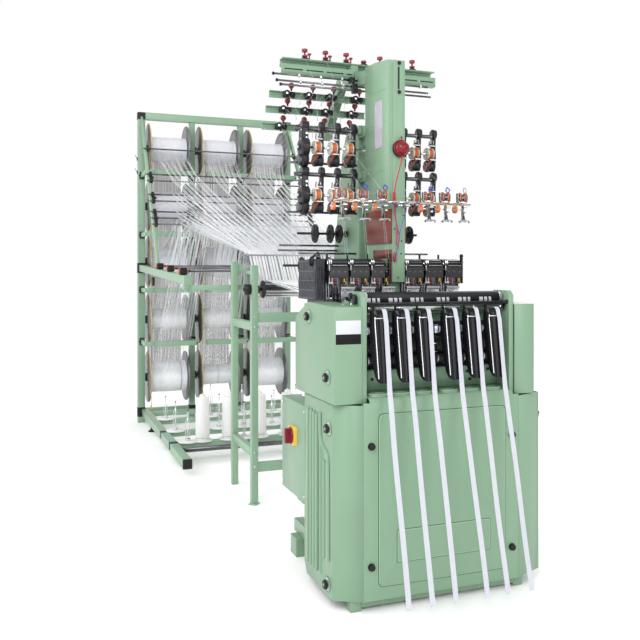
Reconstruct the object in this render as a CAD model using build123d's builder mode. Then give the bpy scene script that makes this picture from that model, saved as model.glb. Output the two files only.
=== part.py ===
from build123d import *
import math
import os

os.makedirs("parts", exist_ok=True)

# ---------------------------------------------------------------------------
# Elastic loom: narrow fabric needle loom with its tension tower, its warp
# stand and its beam creel.  Millimetres, +Z up, +Y towards the back.
# Working coordinates: x from the machine's middle, y from the front panel,
# z from the floor.  OX, OY move them so that the origin is the middle of the
# whole footprint, on the floor.
# ---------------------------------------------------------------------------
OX, OY = -15.0, -1701.855

# machine body
PANEL_X, PANEL_Z0, PANEL_Z1 = 289.0, 38.0, 667.0
CORNER_X, CORNER_Y = 376.0, 50.0
COVER_BACK = 315.0
CHEEK_IN, CHEEK_OUT = 267.0, 285.0
CHEEK_TOP = 1020.0
SHEET = 3.0
DECK_Z = 945.0

# tapes and chutes
TAPE_W, TAPE_T = 18.0, 1.6
TAPE_DRIFT = [-0.0134, -0.0125, -0.0110, 0.0017, -0.0087, -0.0017]
CHUTE_X = [-260.0, -181.0, -101.0, -3.0, 79.0, 162.0]
CHUTE_W = 68.0

# rollers
PRESS_R, PRESS_Y, PRESS_Z = 21.0, 75.0, 997.0
TAKE_R, TAKE_Y, TAKE_Z = 27.0, 118.5, 975.0

# tower
TOWER_X0, TOWER_X1, TOWER_Y0, TOWER_Y1 = -58.0, 8.0, 300.0, 510.0
TOWER_TOP = 1855.0

# feeders
FEED_Y, FEED_Z_UP, FEED_Z_LOW = 550.0, 1561.0, 1378.0
ROD_Z_UP, ROD_Z_LOW = 1632.0, 1457.0
FEED_X = [-243.0, -177.0, -110.0, 110.0, 176.0, 243.0]

# thread sensors
SENSE_Y, SENSE_Z = 250.0, 1332.0
SENSE_X = [-265.0, -186.0, -110.0, 72.0, 142.0, 214.0]

# creel
CREEL_CX, CREEL_PITCH, CREEL_Y, CREEL_TOP = 15.0, 365.0, 3410.0, 2220.0
POST = 50.0
BEAM_Z = [1960.0, 1545.0, 1150.0, 733.0, 320.0]
FLANGE_R, FLANGE_T, BARREL_R, FLANGE_HALF = 178.0, 8.0, 45.0, 131.0
YARN_R = [[90.0, 90.0, 88.0], [106.0, 100.0, 98.0], [102.0, 108.0, 100.0],
          [70.0, 73.0, 70.0], [108.0, 72.0, 103.0]]
GUDGEON_R, GUDGEON_END = 12.0, 156.0

# stand
STAND_X, STAND_Y, STAND_TUBE = 300.0, (1241.0, 1610.0), 32.0

# shafts inside
MAIN_Y, MAIN_Z, MAIN_R = 330.0, 500.0, 20.0
MOTOR_Y, MOTOR_Z = 430.0, 180.0
DRIVE_X = 215.0


def block(x0, x1, y0, y1, z0, z1, mode=Mode.ADD):
    """a box between two corners, working coordinates"""
    with Locations(Location(((x0 + x1) / 2 + OX, (y0 + y1) / 2 + OY, (z0 + z1) / 2))):
        Box(abs(x1 - x0), abs(y1 - y0), abs(z1 - z0), mode=mode)


def rod_x(x0, x1, y, z, r, mode=Mode.ADD):
    with Locations(Location(((x0 + x1) / 2 + OX, y + OY, z), (0, 90, 0))):
        Cylinder(r, abs(x1 - x0), mode=mode)


def rod_y(x, y0, y1, z, r, mode=Mode.ADD):
    with Locations(Location((x + OX, (y0 + y1) / 2 + OY, z), (90, 0, 0))):
        Cylinder(r, abs(y1 - y0), mode=mode)


def rod_z(x, y, z0, z1, r, mode=Mode.ADD):
    with Locations(Location((x + OX, y + OY, (z0 + z1) / 2))):
        Cylinder(r, abs(z1 - z0), mode=mode)


def ball(x, y, z, r, mode=Mode.ADD):
    with Locations(Location((x + OX, y + OY, z))):
        Sphere(r, mode=mode)


def side_profile(points, x0, x1, mode=Mode.ADD, radius=0.0):
    """a profile of (y, z) points, extruded along x"""
    with BuildSketch(Plane.YZ.offset(x0 + OX)) as prof:
        with BuildLine():
            Polyline(*[(y + OY, z) for y, z in points], close=True)
        make_face()
        if radius:
            fillet(prof.vertices(), radius)
    extrude(prof.sketch, amount=x1 - x0, mode=mode)


def plan_profile(points, z0, z1, mode=Mode.ADD):
    """a profile of (x, y) points, extruded upwards"""
    with BuildSketch(Plane.XY.offset(z0)) as prof:
        with BuildLine():
            Polyline(*[(x + OX, y + OY) for x, y in points], close=True)
        make_face()
    extrude(prof.sketch, amount=z1 - z0, mode=mode)


def face_profile(points, y0, y1, mode=Mode.ADD):
    """a profile of (x, z) points, extruded backwards from y0 to y1"""
    with BuildSketch(Plane.XZ.offset(-(y0 + OY))) as prof:
        with BuildLine():
            Polyline(*[(x + OX, z) for x, z in points], close=True)
        make_face()
    extrude(prof.sketch, amount=-(y1 - y0), mode=mode)


def bar_between(a, b, r, mode=Mode.ADD):
    """a round bar between two points"""
    va = Vector(a[0] + OX, a[1] + OY, a[2])
    vb = Vector(b[0] + OX, b[1] + OY, b[2])
    direction = vb - va
    with BuildSketch(Plane(origin=va, z_dir=direction)) as s:
        Circle(r)
    extrude(s.sketch, amount=direction.length, mode=mode)


def tube(x0, x1, y0, y1, z0, z1, axis, wall=2.5):
    """a square tube along one axis, open at both ends"""
    span = {"x": (x0, x1), "y": (y0, y1), "z": (z0, z1)}[axis]
    if axis == "x":
        plane, c, a, b = Plane.YZ.offset(x0 + OX), ((y0 + y1) / 2 + OY, (z0 + z1) / 2), y1 - y0, z1 - z0
    elif axis == "y":
        plane, c, a, b = Plane.XZ.offset(-(y1 + OY)), ((x0 + x1) / 2 + OX, (z0 + z1) / 2), x1 - x0, z1 - z0
    else:
        plane, c, a, b = Plane.XY.offset(z0), ((x0 + x1) / 2 + OX, (y0 + y1) / 2 + OY), x1 - x0, y1 - y0
    with BuildSketch(plane) as section:
        with Locations(c):
            Rectangle(a, b)
            Rectangle(a - 2 * wall, b - 2 * wall, mode=Mode.SUBTRACT)
    extrude(section.sketch, amount=span[1] - span[0])


def strut_front(z):
    """y of the creel strut's front edge at height z"""
    return 3384.6 - (2190.0 - z) * (3384.6 - 2580.0) / (2190.0 - 1100.0)


def arm_top(y):
    """height of the creel arm's upper face at y: it falls a little towards the front"""
    return 1060.0 + (y - 1652.0) * 0.0387


def keep(builder, name):
    builder.part.label = name
    export_step(builder.part, f"parts/{name}.step")


def tape_x(i, z):
    """middle of tape i at height z: each hangs a little off its chute's line"""
    return CHUTE_X[i] + 47.0 + (960.0 - z) * TAPE_DRIFT[i]


def tape_y(z):
    """front surface line of the tapes, a little forward as they fall"""
    if z > 700.0:
        return 1.0 - (960.0 - z) * 0.150
    return 1.0 - 39.0 - (700.0 - z) * 0.2405


# =========================== creel =========================================
POST_X = [CREEL_CX + CREEL_PITCH * k for k in (-1.5, -0.5, 0.5, 1.5)]
BEAM_X = [CREEL_CX + CREEL_PITCH * k for k in (-1, 0, 1)]
H = POST / 2

with BuildPart() as creel_frame:
    # outer and inner posts
    for x in (POST_X[0], POST_X[3]):
        tube(x - H, x + H, CREEL_Y - H, CREEL_Y + H, 0, CREEL_TOP - POST - 0.2, "z")
        block(x - H, x + H, CREEL_Y - H, CREEL_Y + H, CREEL_TOP - POST, CREEL_TOP)
    for x in POST_X[1:3]:
        tube(x - H + 5, x + H - 5, CREEL_Y - H + 5, CREEL_Y + H - 5, 0, CREEL_TOP - POST - 0.2, "z")
    # top and bottom rails
    tube(POST_X[0] + H + 0.2, POST_X[3] - H - 0.2, CREEL_Y - H, CREEL_Y + H, CREEL_TOP - POST, CREEL_TOP, "x")
    for i in range(3):
        tube(POST_X[i] + H + 0.2, POST_X[i + 1] - H - 0.2, CREEL_Y - 18, CREEL_Y + 18, 62, 98, "x")
    # short rails in front of the beams, each on a bracket from its right post
    for z in (1765.0, 1340.0, 950.0, 580.0):
        for i in range(3):
            xr = POST_X[i + 1] - 6 if i < 2 else POST_X[3] - 6
            tube(POST_X[i] + 62, xr, 3150, 3186, z - 17, z + 17, "x")
            block(xr - 14, xr, 3186.2, CREEL_Y - H - 0.2, z - 15, z + 15)
            if i == 0:
                block(POST_X[0] - 7, POST_X[0] + 7, 3168, CREEL_Y - H - 0.2, z - 15, z + 15)
                block(POST_X[0] + 7.2, POST_X[0] + 61.8, 3168, 3186, z - 15, z + 15)
    # arms at mid height, carried by the struts
    arm_end = CREEL_Y - H - 0.2
    for x in (POST_X[0], POST_X[3]):
        side_profile([(1652, arm_top(1652) - 44), (1652, arm_top(1652)), (arm_end, arm_top(arm_end)),
                      (arm_end, arm_top(arm_end) - 44)], x - 18, x + 18)
        side_profile([(1640, arm_top(1640) - 41.5), (1640, arm_top(1640) - 2.5), (3392, arm_top(3392) - 2.5),
                      (3392, arm_top(3392) - 41.5)], x - 15.5, x + 15.5, mode=Mode.SUBTRACT)
    tube(POST_X[0] + 20.2, POST_X[3] - 20.2, 1652, 1690, 988, 1014, "x")
    block(POST_X[0] - 20, POST_X[0] + 20, 1652, 1690, 988, 1015.6)
    block(POST_X[3] - 20, POST_X[3] + 20, 1652, 1690, 988, 1015.6)
    for x in (POST_X[0], POST_X[3]):
        side_profile([(3384.6, 2190), (3384.6, 2140), (2647, 1099.2), (2579, 1099.2)], x - 8, x + 8)
    # floor frame in front, on black feet
    for x in (POST_X[0] + 26, POST_X[3] - 26):
        tube(x - 23, x + 23, 1790, CREEL_Y - H - 0.2, 50, 98, "y")
        for y in (3050,):
            rod_z(x, y, 0, 8, 24)
            rod_z(x, y, 8.2, 49.8, 11)
    xa, xb = POST_X[0] + 49.2, POST_X[3] - 49.2
    for y in (3250, 2950, 2540, 2215):
        tube(xa, xb, y - 20, y + 20, 66, 98, "x")
keep(creel_frame, "creel_frame")

with BuildPart() as beam_bearings:
    # a bearing plate beside each post for each beam end, open round the gudgeon
    for z in BEAM_Z:
        for i, cx in enumerate(BEAM_X):
            for s, px in ((-1, POST_X[i]), (1, POST_X[i + 1])):
                inner = 5 if (px in POST_X[1:3]) else 0
                x0 = px - s * (H - inner + 0.2)
                x1 = x0 - s * 12
                block(min(x0, x1), max(x0, x1), CREEL_Y - 22, CREEL_Y + 22, z - 24, z + 30)
                rod_x(min(x0, x1) - 1, max(x0, x1) + 1, CREEL_Y, z, GUDGEON_R + 0.4, mode=Mode.SUBTRACT)
keep(beam_bearings, "beam_bearings")

for r, z in enumerate(BEAM_Z):
    for c, cx in enumerate(BEAM_X):
        with BuildPart() as warp_beam:
            for s in (-1, 1):
                rod_x(cx + s * FLANGE_HALF, cx + s * (FLANGE_HALF + FLANGE_T), CREEL_Y, z, FLANGE_R)
                rod_x(cx + s * (FLANGE_HALF + FLANGE_T + 0.2), cx + s * GUDGEON_END, CREEL_Y, z, GUDGEON_R)
            rod_x(cx - FLANGE_HALF + 0.2, cx + FLANGE_HALF - 0.2, CREEL_Y, z, YARN_R[r][c])
        keep(warp_beam, f"warp_beam_r{r + 1}c{c + 1}")

with BuildPart() as creel_rods:
    # guide rods between the struts, with their clamp blocks
    for z in (1930, 1736, 1690, 1590, 1545, 1470, 1428, 1386):
        rod_x(POST_X[0] - 18, POST_X[3] + 18, strut_front(z) - 8.5, z, 5)
    for y in (2546, 2165, 1777):
        rod_x(POST_X[0] - 10, POST_X[3] + 10, y, arm_top(y) + 20, 6)
        for x in (POST_X[0], POST_X[3]):
            block(x - 16, x + 16, y - 20, y - 6.5, arm_top(y) + 1.2, arm_top(y) + 38)
            block(x - 16, x + 16, y + 6.5, y + 18, arm_top(y) + 1.2, arm_top(y) + 38)
    # front tube at the floor
    rod_x(POST_X[0] + 49.4, POST_X[3] - 49.4, 2105, 76, 14)
    # two loose guide wires at the back of the left post
    bar_between((POST_X[0] - 22, CREEL_Y + H + 4, 1790), (POST_X[0] - 22, 3570, 1835), 3)
    bar_between((POST_X[0] - 22, CREEL_Y + H + 4, 1885), (POST_X[0] - 22, 3570, 1935), 3)
    # black holder blocks on the struts' inner sides: the rods lie in front of them
    for zc, half in ((1930, 26), (1713, 44), (1567, 44), (1428, 62)):
        yc = strut_front(zc)
        for x, s in ((POST_X[0], 1), (POST_X[3], -1)):
            x0, x1 = sorted((x + s * 8.2, x + s * 24))
            a = math.atan2(1100.0, 775.0)
            dy, dz = math.cos(a) * half, math.sin(a) * half
            side_profile([(yc - dy - 14, zc - dz), (yc - dy + 12, zc - dz), (yc + dy + 12, zc + dz),
                          (yc + dy - 14, zc + dz)], x0, x1)
keep(creel_rods, "creel_rods")

# rope brake over each left flange rim, both ends led down
with BuildPart() as rope:
    with BuildLine(Plane.YZ) as rope_path:
        CenterArc((0, 0), FLANGE_R + 4.0, -20, 220)
    with BuildSketch(Plane(origin=rope_path.line @ 0, z_dir=rope_path.line % 0)):
        Circle(2.6)
    sweep()
with BuildPart() as brake_cords:
    for z in BEAM_Z:
        for cx in BEAM_X:
            add(rope.part.moved(Location((cx - FLANGE_HALF - FLANGE_T / 2 + OX, CREEL_Y + OY, z))))
keep(brake_cords, "brake_cords")

CONE_X = [-338.0, -182.0, 5.0, 180.0]
CONE_Y = 2215.0
SPINDLE = [(-433, 2950), (-439, 2540), (-165, 2540), (-5, 2540), (180, 2540), (-130, 2950), (321, 2950),
           (-425, 2215), (-90, 2215), (130 + 150, 2215), (380, 2540), (90, 2950), (430, 2215), (480, 2950)]
with BuildPart() as cone_plates:
    for x, y in SPINDLE + [(cx, CONE_Y) for cx in CONE_X]:
        rod_z(x, y, 98.2, 104, 58)
    for k, (x, y) in enumerate(SPINDLE):
        rod_z(x, y, 104.2, 118, 16)
        rod_z(x, y, 118.2, 250 + 30 * (k % 3), 3)
    for x in CONE_X:
        rod_z(x, CONE_Y, 104.2, 118, 16)
        rod_z(x, CONE_Y, 118.2, 375, 3)
keep(cone_plates, "cone_plates")

with BuildPart() as yarn_cones:
    for x in CONE_X:
        with BuildSketch(Plane.XY.offset(118.4)) as s0:
            with Locations((x + OX, CONE_Y + OY)):
                Circle(40)
        with BuildSketch(Plane.XY.offset(352)) as s1:
            with Locations((x + OX, CONE_Y + OY)):
                Circle(36)
        loft([s0.sketch, s1.sketch])
        rod_z(x, CONE_Y, 100, 360, 4.5, mode=Mode.SUBTRACT)
keep(yarn_cones, "yarn_cones")

# =========================== stand =========================================
T = STAND_TUBE / 2
Y1S, Y2S = STAND_Y
WARP_Z = 1000.0
with BuildPart() as stand_frame:
    for sx in (-1, 1):
        x = sx * STAND_X
        tube(x - T, x + T, Y1S - T, Y1S + T, 0, 1110, "z")
        tube(x - T, x + T, Y2S - T, Y2S + T, 0, 1130, "z")
        for z in (827, 240):
            tube(x - T + 3, x + T - 3, Y1S + T + 0.2, Y2S - T - 0.2, z - 20, z + 20, "y")
        rod_x(x - T - 1, x + T + 1, Y1S, WARP_Z, 9.0, mode=Mode.SUBTRACT)
    for z in (868, 172):
        tube(-STAND_X + T + 0.2, STAND_X - T - 0.2, Y1S - T + 4, Y1S + T - 4, z - 22, z + 22, "x")
    tube(-STAND_X + T + 0.2, STAND_X - T - 0.2, Y2S - T + 4, Y2S + T - 4, 1080, 1118, "x")
keep(stand_frame, "stand_frame")

with BuildPart() as warp_roller:
    rod_x(-352, 322, Y1S, WARP_Z, 8.0)
    for x0, x1 in ((-262, -254), (254, 262)):
        rod_x(x0, x1, Y1S, WARP_Z, 41)
    rod_x(-254, 254, Y1S, WARP_Z, 20)
    for k in range(6):
        a = math.radians(60 * k + 15)
        rod_x(-254, 254, Y1S + 33 * math.cos(a), WARP_Z + 33 * math.sin(a), 5)
    rod_x(-345, -320, Y1S, WARP_Z, 25)
keep(warp_roller, "warp_roller")

with BuildPart() as guard_plate:
    block(-311, 300, 1400, 1404, 993, 1162)
    for sx in (-1, 1):
        block(sx * (STAND_X - 6) - 8, sx * (STAND_X - 6) + 8, Y1S + T + 0.3, 1399.8, 1070, 1086)
keep(guard_plate, "guard_plate")

# =========================== machine body ==================================
with BuildPart() as machine_frame:
    cheek = [(24, 118), (24, 1004), (40, CHEEK_TOP), (116, CHEEK_TOP), (150, 1000), (205, 962), (575, 962), (575, 118)]
    for x0, x1 in ((-CHEEK_OUT, -CHEEK_IN), (CHEEK_IN, CHEEK_OUT)):
        side_profile(cheek, x0, x1)
        # bearing holes: press roller, take-up roller, main shaft
        rod_x(x0 - 1, x1 + 1, PRESS_Y, PRESS_Z, 8.4, mode=Mode.SUBTRACT)
        rod_x(x0 - 1, x1 + 1, TAKE_Y, TAKE_Z, 10.4, mode=Mode.SUBTRACT)
        rod_x(x0 - 1, x1 + 1, MAIN_Y, MAIN_Z, MAIN_R + 0.4, mode=Mode.SUBTRACT)
    # base frame: two long sills, cross sills, feet
    for sx in (-1, 1):
        block(sx * 268, sx * 305, 20, 640, 70, 117.8)
        block(sx * 285, sx * 322, 26, 64, 0, 69.8)
        block(sx * 262, sx * 330, 540, 610, 0, 69.8)
    block(-267.8, 267.8, 30, 70, 72, 112)
    block(-267.8, 267.8, 580, 630, 72, 112)
    # cross rails that the motor stands on
    for y in (MOTOR_Y - 50, MOTOR_Y + 50):
        block(-267.8, 267.8, y - 10, y + 10, 84, 112.2)
    # deck between the cheeks: front and back strips leave the batten's slot free
    block(-CHEEK_IN + 0.2, CHEEK_IN - 0.2, 172, 206, DECK_Z - 10, DECK_Z)
    block(-CHEEK_IN + 0.2, CHEEK_IN - 0.2, 334, 560, DECK_Z - 10, DECK_Z)
    # rear wall between the cheeks
    block(-CHEEK_IN + 0.2, CHEEK_IN - 0.2, 561, 574, 118, DECK_Z)
    # inner front wall above the panel, behind the chutes
    block(-CHEEK_IN + 0.2, CHEEK_IN - 0.2, 150, 156, 700, DECK_Z - 10.2)
    block(-CHEEK_IN + 0.2, CHEEK_IN - 0.2, 100, 106, 691, 757)
    block(-CHEEK_IN + 0.2, CHEEK_IN - 0.2, 106.2, 149.8, 751, 757)
    # guides under the needle bar
    for x in (-235, 225):
        block(x, x + 8, 190, 232, DECK_Z + 0.2, 966.6)
    # chute shafts
    rod_x(-CHEEK_IN + 0.2, CHEEK_IN - 0.2, 62, 893, 8)
    rod_x(-CHEEK_IN + 0.2, CHEEK_IN - 0.2, 118, 835, 26)
    rod_x(-CHEEK_IN + 0.2, CHEEK_IN - 0.2, 112, 788, 16)
keep(machine_frame, "machine_frame")

with BuildPart() as front_panel:
    block(-PANEL_X, PANEL_X, 0, SHEET, PANEL_Z0, PANEL_Z1)
    # raised field with rounded corners
    with BuildSketch(Plane.XZ.offset(-(OY))) as field:
        with Locations((OX, 355)):
            RectangleRounded(470, 550, 22)
    extrude(field.sketch, amount=4.5, taper=35)
    # bare name field
    with BuildSketch(Plane.XZ.offset(-(OY) + 4.5)) as plate:
        with Locations((OX, 204)):
            RectangleRounded(344, 102, 5)
    extrude(plate.sketch, amount=2.2, taper=40)
    # ledge along its top edge, a folded strip of its own
    side_profile([(0, 667.2), (0, 668), (8, 682), (99.5, 690), (99.5, 686), (10, 678), (3.2, 668), (3.2, 667.2)],
                 -CHEEK_IN + 0.5, CHEEK_IN - 0.5)
    # a raised lip under each chute
    for cx in CHUTE_X:
        with BuildSketch(Plane.XY.offset(676)) as lip:
            with Locations((cx + 38 + OX, 34 + OY)):
                Ellipse(37, 25)
        extrude(lip.sketch, amount=15, taper=12)
        with BuildSketch(Plane.XY.offset(680)) as dish:
            with Locations((cx + 38 + OX, 38 + OY)):
                Ellipse(30, 17)
        extrude(dish.sketch, amount=14, mode=Mode.SUBTRACT)
keep(front_panel, "front_panel")


def star(x, y, z, r=12.0, s=-1):
    """a star knob on a side face: five rounded lobes round a hub; s is the side it stands out to"""
    rod_x(*sorted((x, x + 14 * s)), y, z, 4)
    a0, a1 = sorted((x + 5 * s, x + 14 * s))
    for k in range(5):
        a = math.radians(72 * k + 18)
        rod_x(a0, a1, y + r * 0.6 * math.cos(a), z + r * 0.6 * math.sin(a), r * 0.42)
    rod_x(a0, a1, y, z, r * 0.6)


def lower_cover(s):
    """the corner cover: chamfer, side, back flange, with ribs on the side"""
    front, corner, back = PANEL_X + 0.5, CORNER_X if s < 0 else 407.0, COVER_BACK
    outer = [(s * front, 0), (s * corner, CORNER_Y), (s * corner, back), (s * (corner - 40), back),
             (s * (corner - 40), back - SHEET), (s * (corner - SHEET), back - SHEET),
             (s * (corner - SHEET), CORNER_Y + 1.7), (s * (front + 0.9), SHEET + 0.6), (s * front, SHEET + 0.6)]
    plan_profile(outer, PANEL_Z0, 660)
    # flutes down the side
    for k, y in enumerate((268, 239, 211, 184, 152)):
        z1 = 616 - (2 * k)
        rod_z(s * (corner - 0.5), y, 92, z1, 5.5)
        ball(s * (corner - 0.5), y, z1, 5.5)
        ball(s * (corner - 0.5), y, 92, 5.5)
    for k, y in enumerate((124, 98)):
        z1 = 470 - 6 * k
        rod_z(s * (corner - 0.5), y, 150 + 8 * k, z1, 5.0)
        ball(s * (corner - 0.5), y, z1, 5.0)
        ball(s * (corner - 0.5), y, 150 + 8 * k, 5.0)
    # lower rear corner cut upwards
    side_profile([(back + 5, PANEL_Z0 - 5), (back - 28, PANEL_Z0 - 5), (back + 5, PANEL_Z0 + 46)],
                 s * (corner + 10), s * (corner - 60), mode=Mode.SUBTRACT)


with BuildPart() as lower_cover_left:
    lower_cover(-1)
keep(lower_cover_left, "lower_cover_left")
with BuildPart() as lower_cover_right:
    lower_cover(1)
keep(lower_cover_right, "lower_cover_right")


def upper_cover(s):
    x_out = 382.0 if s < 0 else 365.0
    x_in = CHEEK_OUT + 0.5
    side = [(18, 664), (18, 973), (262, 981), (396, 925), (396, 664)]
    inner = [(18 + SHEET, 660), (18 + SHEET, 973 - SHEET), (261, 981 - SHEET), (396 - SHEET, 923 - SHEET),
             (396 - SHEET, 660)]
    lo, hi = sorted((s * x_out, s * x_in))
    side_profile(side, lo, hi)
    lo2, hi2 = sorted((s * (x_out - SHEET), s * (x_in - 2)))
    side_profile(inner, lo2, hi2, mode=Mode.SUBTRACT)


with BuildPart() as upper_cover_left:
    upper_cover(-1)
    # two bare plates on the front face
    block(-376, -290, 16.4, 18, 887, 930)
    block(-376, -290, 16.4, 18, 855, 886)
keep(upper_cover_left, "upper_cover_left")
with BuildPart() as upper_cover_right:
    upper_cover(1)
keep(upper_cover_right, "upper_cover_right")

with BuildPart() as cover_knobs:
    # star knobs: upper cover left, lower cover left, frame cheek; mirrored on the right
    for y, z in ((253, 931), (72, 745)):
        star(-382.3, y, z, 15)
        star(365.3, y, z, 15, 1)
    for y, z in ((78, 580), (89, 76)):
        star(-CORNER_X - 0.3, y, z, 15)
        star(407.3, y, z, 15, 1)
    for y, z in ((58, 1001), (92, 1005), (58, 987)):
        star(-CHEEK_OUT - 0.3, y, z, 10)
    # round screws of the front panel
    for x, z in ((-262, 530), (262, 530), (-262, 147), (262, 147)):
        rod_y(x, -11, -4.2, z, 10)
        rod_y(x, -4, -0.2, z, 12)
keep(cover_knobs, "cover_knobs")

with BuildPart() as pressure_roller:
    rod_x(-250, 250, PRESS_Y, PRESS_Z, PRESS_R)
    rod_x(-284, -250, PRESS_Y, PRESS_Z, 8)
    rod_x(250, 284, PRESS_Y, PRESS_Z, 8)
keep(pressure_roller, "pressure_roller")

with BuildPart() as take_up_roller:
    rod_x(-250, 250, TAKE_Y, TAKE_Z, TAKE_R)
    rod_x(-284.5, -250, TAKE_Y, TAKE_Z, 10)
    rod_x(250, 284.5, TAKE_Y, TAKE_Z, 10)
keep(take_up_roller, "take_up_roller")

with BuildPart() as comb_bar:
    # thin bar with a knobbed end, and the plate behind the chute heads
    rod_x(-264, 264, 34, 981, 4)
    block(-266.5, 266.5, 44, 48, 956, 975)
    for x in (-263, 257):
        block(x, x + 6, 36, 43.8, 958, 978)
    for k in range(6):
        x = CHUTE_X[k] + 20
        block(x, x + 5, 38, 43.8, 960, 972)
keep(comb_bar, "comb_bar")

with BuildPart() as tape_guides:
    for cx in CHUTE_X:
        # tongue: a rounded tongue in front view, leaning forward as it falls
        with BuildSketch(Plane.XZ.offset(-(42 + OY))) as tongue:
            with BuildLine():
                Polyline((cx + OX, 925), (cx + 20 + OX, 752), (cx + 36 + OX, 733), (cx + 52 + OX, 733),
                         (cx + 67 + OX, 756), (cx + CHUTE_W + OX, 925), (cx + 50 + OX, 958), (cx + 18 + OX, 958),
                         close=True)
            make_face()
            fillet(tongue.vertices(), 11)
        extrude(tongue.sketch, amount=95)
        # leave the shell that leans forward
        side_profile([(17, 965), (72, 965), (72, 700), (-20, 700), (-22.5, 730), (8, 925)],
                     cx - 5, cx + CHUTE_W + 5, mode=Mode.SUBTRACT)
        side_profile([(15, 965), (-68, 965), (-68, 700), (-29.5, 700), (-29.5, 730), (-1, 915), (3, 940)],
                     cx - 5, cx + CHUTE_W + 5, mode=Mode.SUBTRACT)
    for cx in CHUTE_X:
        # foot arm and clamp on the shaft
        block(cx + 4, cx + 24, 6.0, 53.8, 884, 902)
        block(cx + 2, cx + 26, 54, 70.6, 877, 909)
        rod_x(cx - 5, cx + 40, 62, 893, 8.4, mode=Mode.SUBTRACT)
keep(tape_guides, "tape_guides")

with BuildPart() as elastic_tapes:
    for i in range(6):
        xt, xm, xe = tape_x(i, 960), tape_x(i, 700), tape_x(i, 80)
        for z0, z1 in ((700.2, 946.0), (78.0, 699.8)):
            with BuildSketch(Plane.XY.offset(z0)) as s0:
                with Locations((tape_x(i, z0) + OX, tape_y(z0) - 2.5 + OY)):
                    Rectangle(TAPE_W, TAPE_T)
            with BuildSketch(Plane.XY.offset(z1)) as s1:
                with Locations((tape_x(i, z1) + OX, tape_y(z1) - 2.5 + OY)):
                    Rectangle(TAPE_W, TAPE_T)
            loft([s0.sketch, s1.sketch])
keep(elastic_tapes, "elastic_tapes")

# =========================== heads =========================================
GROUPS = ((-293.0, -47.0), (8.0, 254.0))
with BuildPart() as heald_rack:
    for g0, g1 in GROUPS:
        # side plates
        for x0, x1 in ((g0, g0 + 5), (g1 - 5, g1)):
            block(x0, x1, 336, 500, 962.6 if x0 < -CHEEK_OUT else DECK_Z + 0.2, 1070)
        # top bars front and back, with three covers
        for y0, y1 in ((336, 362), (474, 500)):
            block(g0, g1, y0, y1, 1070.2, 1084)
            w = (g1 - g0) / 3
            for k in range(3):
                block(g0 + w * k + 6, g0 + w * (k + 1) - 6, y0 + 2, y1 - 2, 1084.2, 1124)
        # lower cross bar
        for y0, y1 in ((340, 350), (486, 496)):
            block(g0 + 5.2, g1 - 5.2, y0, y1, 962.6, 975)
keep(heald_rack, "heald_rack")


def heald_frames(first):
    for k in range(5):
        y = 371 + 10.5 * (2 * k + first)
        for g0, g1 in GROUPS:
            block(g0 + 8, g1 - 8, y, y + 4, 990, 996)
            block(g0 + 8, g1 - 8, y, y + 4, 1068, 1074)
            for x in (g0 + 8, g1 - 12):
                block(x, x + 4, y, y + 4, 996.2, 1067.8)


with BuildPart() as heald_frames_odd:
    heald_frames(0)
keep(heald_frames_odd, "heald_frames_odd")
with BuildPart() as heald_frames_even:
    heald_frames(1)
keep(heald_frames_even, "heald_frames_even")

with BuildPart() as sley:
    # batten: pivot tube, two swords, reed bar with the reeds
    rod_x(-266.6, 266.6, 285, 700, 12)
    for x in (-240, -8, 225):
        block(x, x + 14, 278, 292, 712.2, 950)
    block(-255, 255, 270, 300, 950.2, 962)
    for k in range(6):
        x = CHUTE_X[k] + 10
        block(x, x + 50, 282, 288, 962.2, 1030)
keep(sley, "sley")

with BuildPart() as needle_bar:
    rod_x(-255, 255, 222, 972, 5)
    for k in range(6):
        x = CHUTE_X[k]
        block(x, x + 8, 216, 228, 977.2, 990)
        rod_x(x + 8.2, x + 52, 222, 986, 1.8)
keep(needle_bar, "needle_bar")

with BuildPart() as main_shaft:
    rod_x(-304.5, 304.5, MAIN_Y, MAIN_Z, MAIN_R)
    rod_x(DRIVE_X - 14, DRIVE_X + 14, MAIN_Y, MAIN_Z, 95)
    for k in range(5):
        rod_x(-180 + 24 * k, -168 + 24 * k, MAIN_Y, MAIN_Z, 46)
keep(main_shaft, "main_shaft")

with BuildPart() as motor:
    rod_x(-60, 150, MOTOR_Y, MOTOR_Z, 62)
    rod_x(-84, -60, MOTOR_Y, MOTOR_Z, 56)
    block(-50, 130, MOTOR_Y - 62, MOTOR_Y + 62, 112.4, 120)
    block(-40, 120, MOTOR_Y - 50, MOTOR_Y + 50, 120, 150)
keep(motor, "motor")

with BuildPart() as motor_pulley:
    rod_x(150.5, 232, MOTOR_Y, MOTOR_Z, 12)
    rod_x(DRIVE_X - 14, DRIVE_X + 14, MOTOR_Y, MOTOR_Z, 38)
keep(motor_pulley, "motor_pulley")

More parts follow.
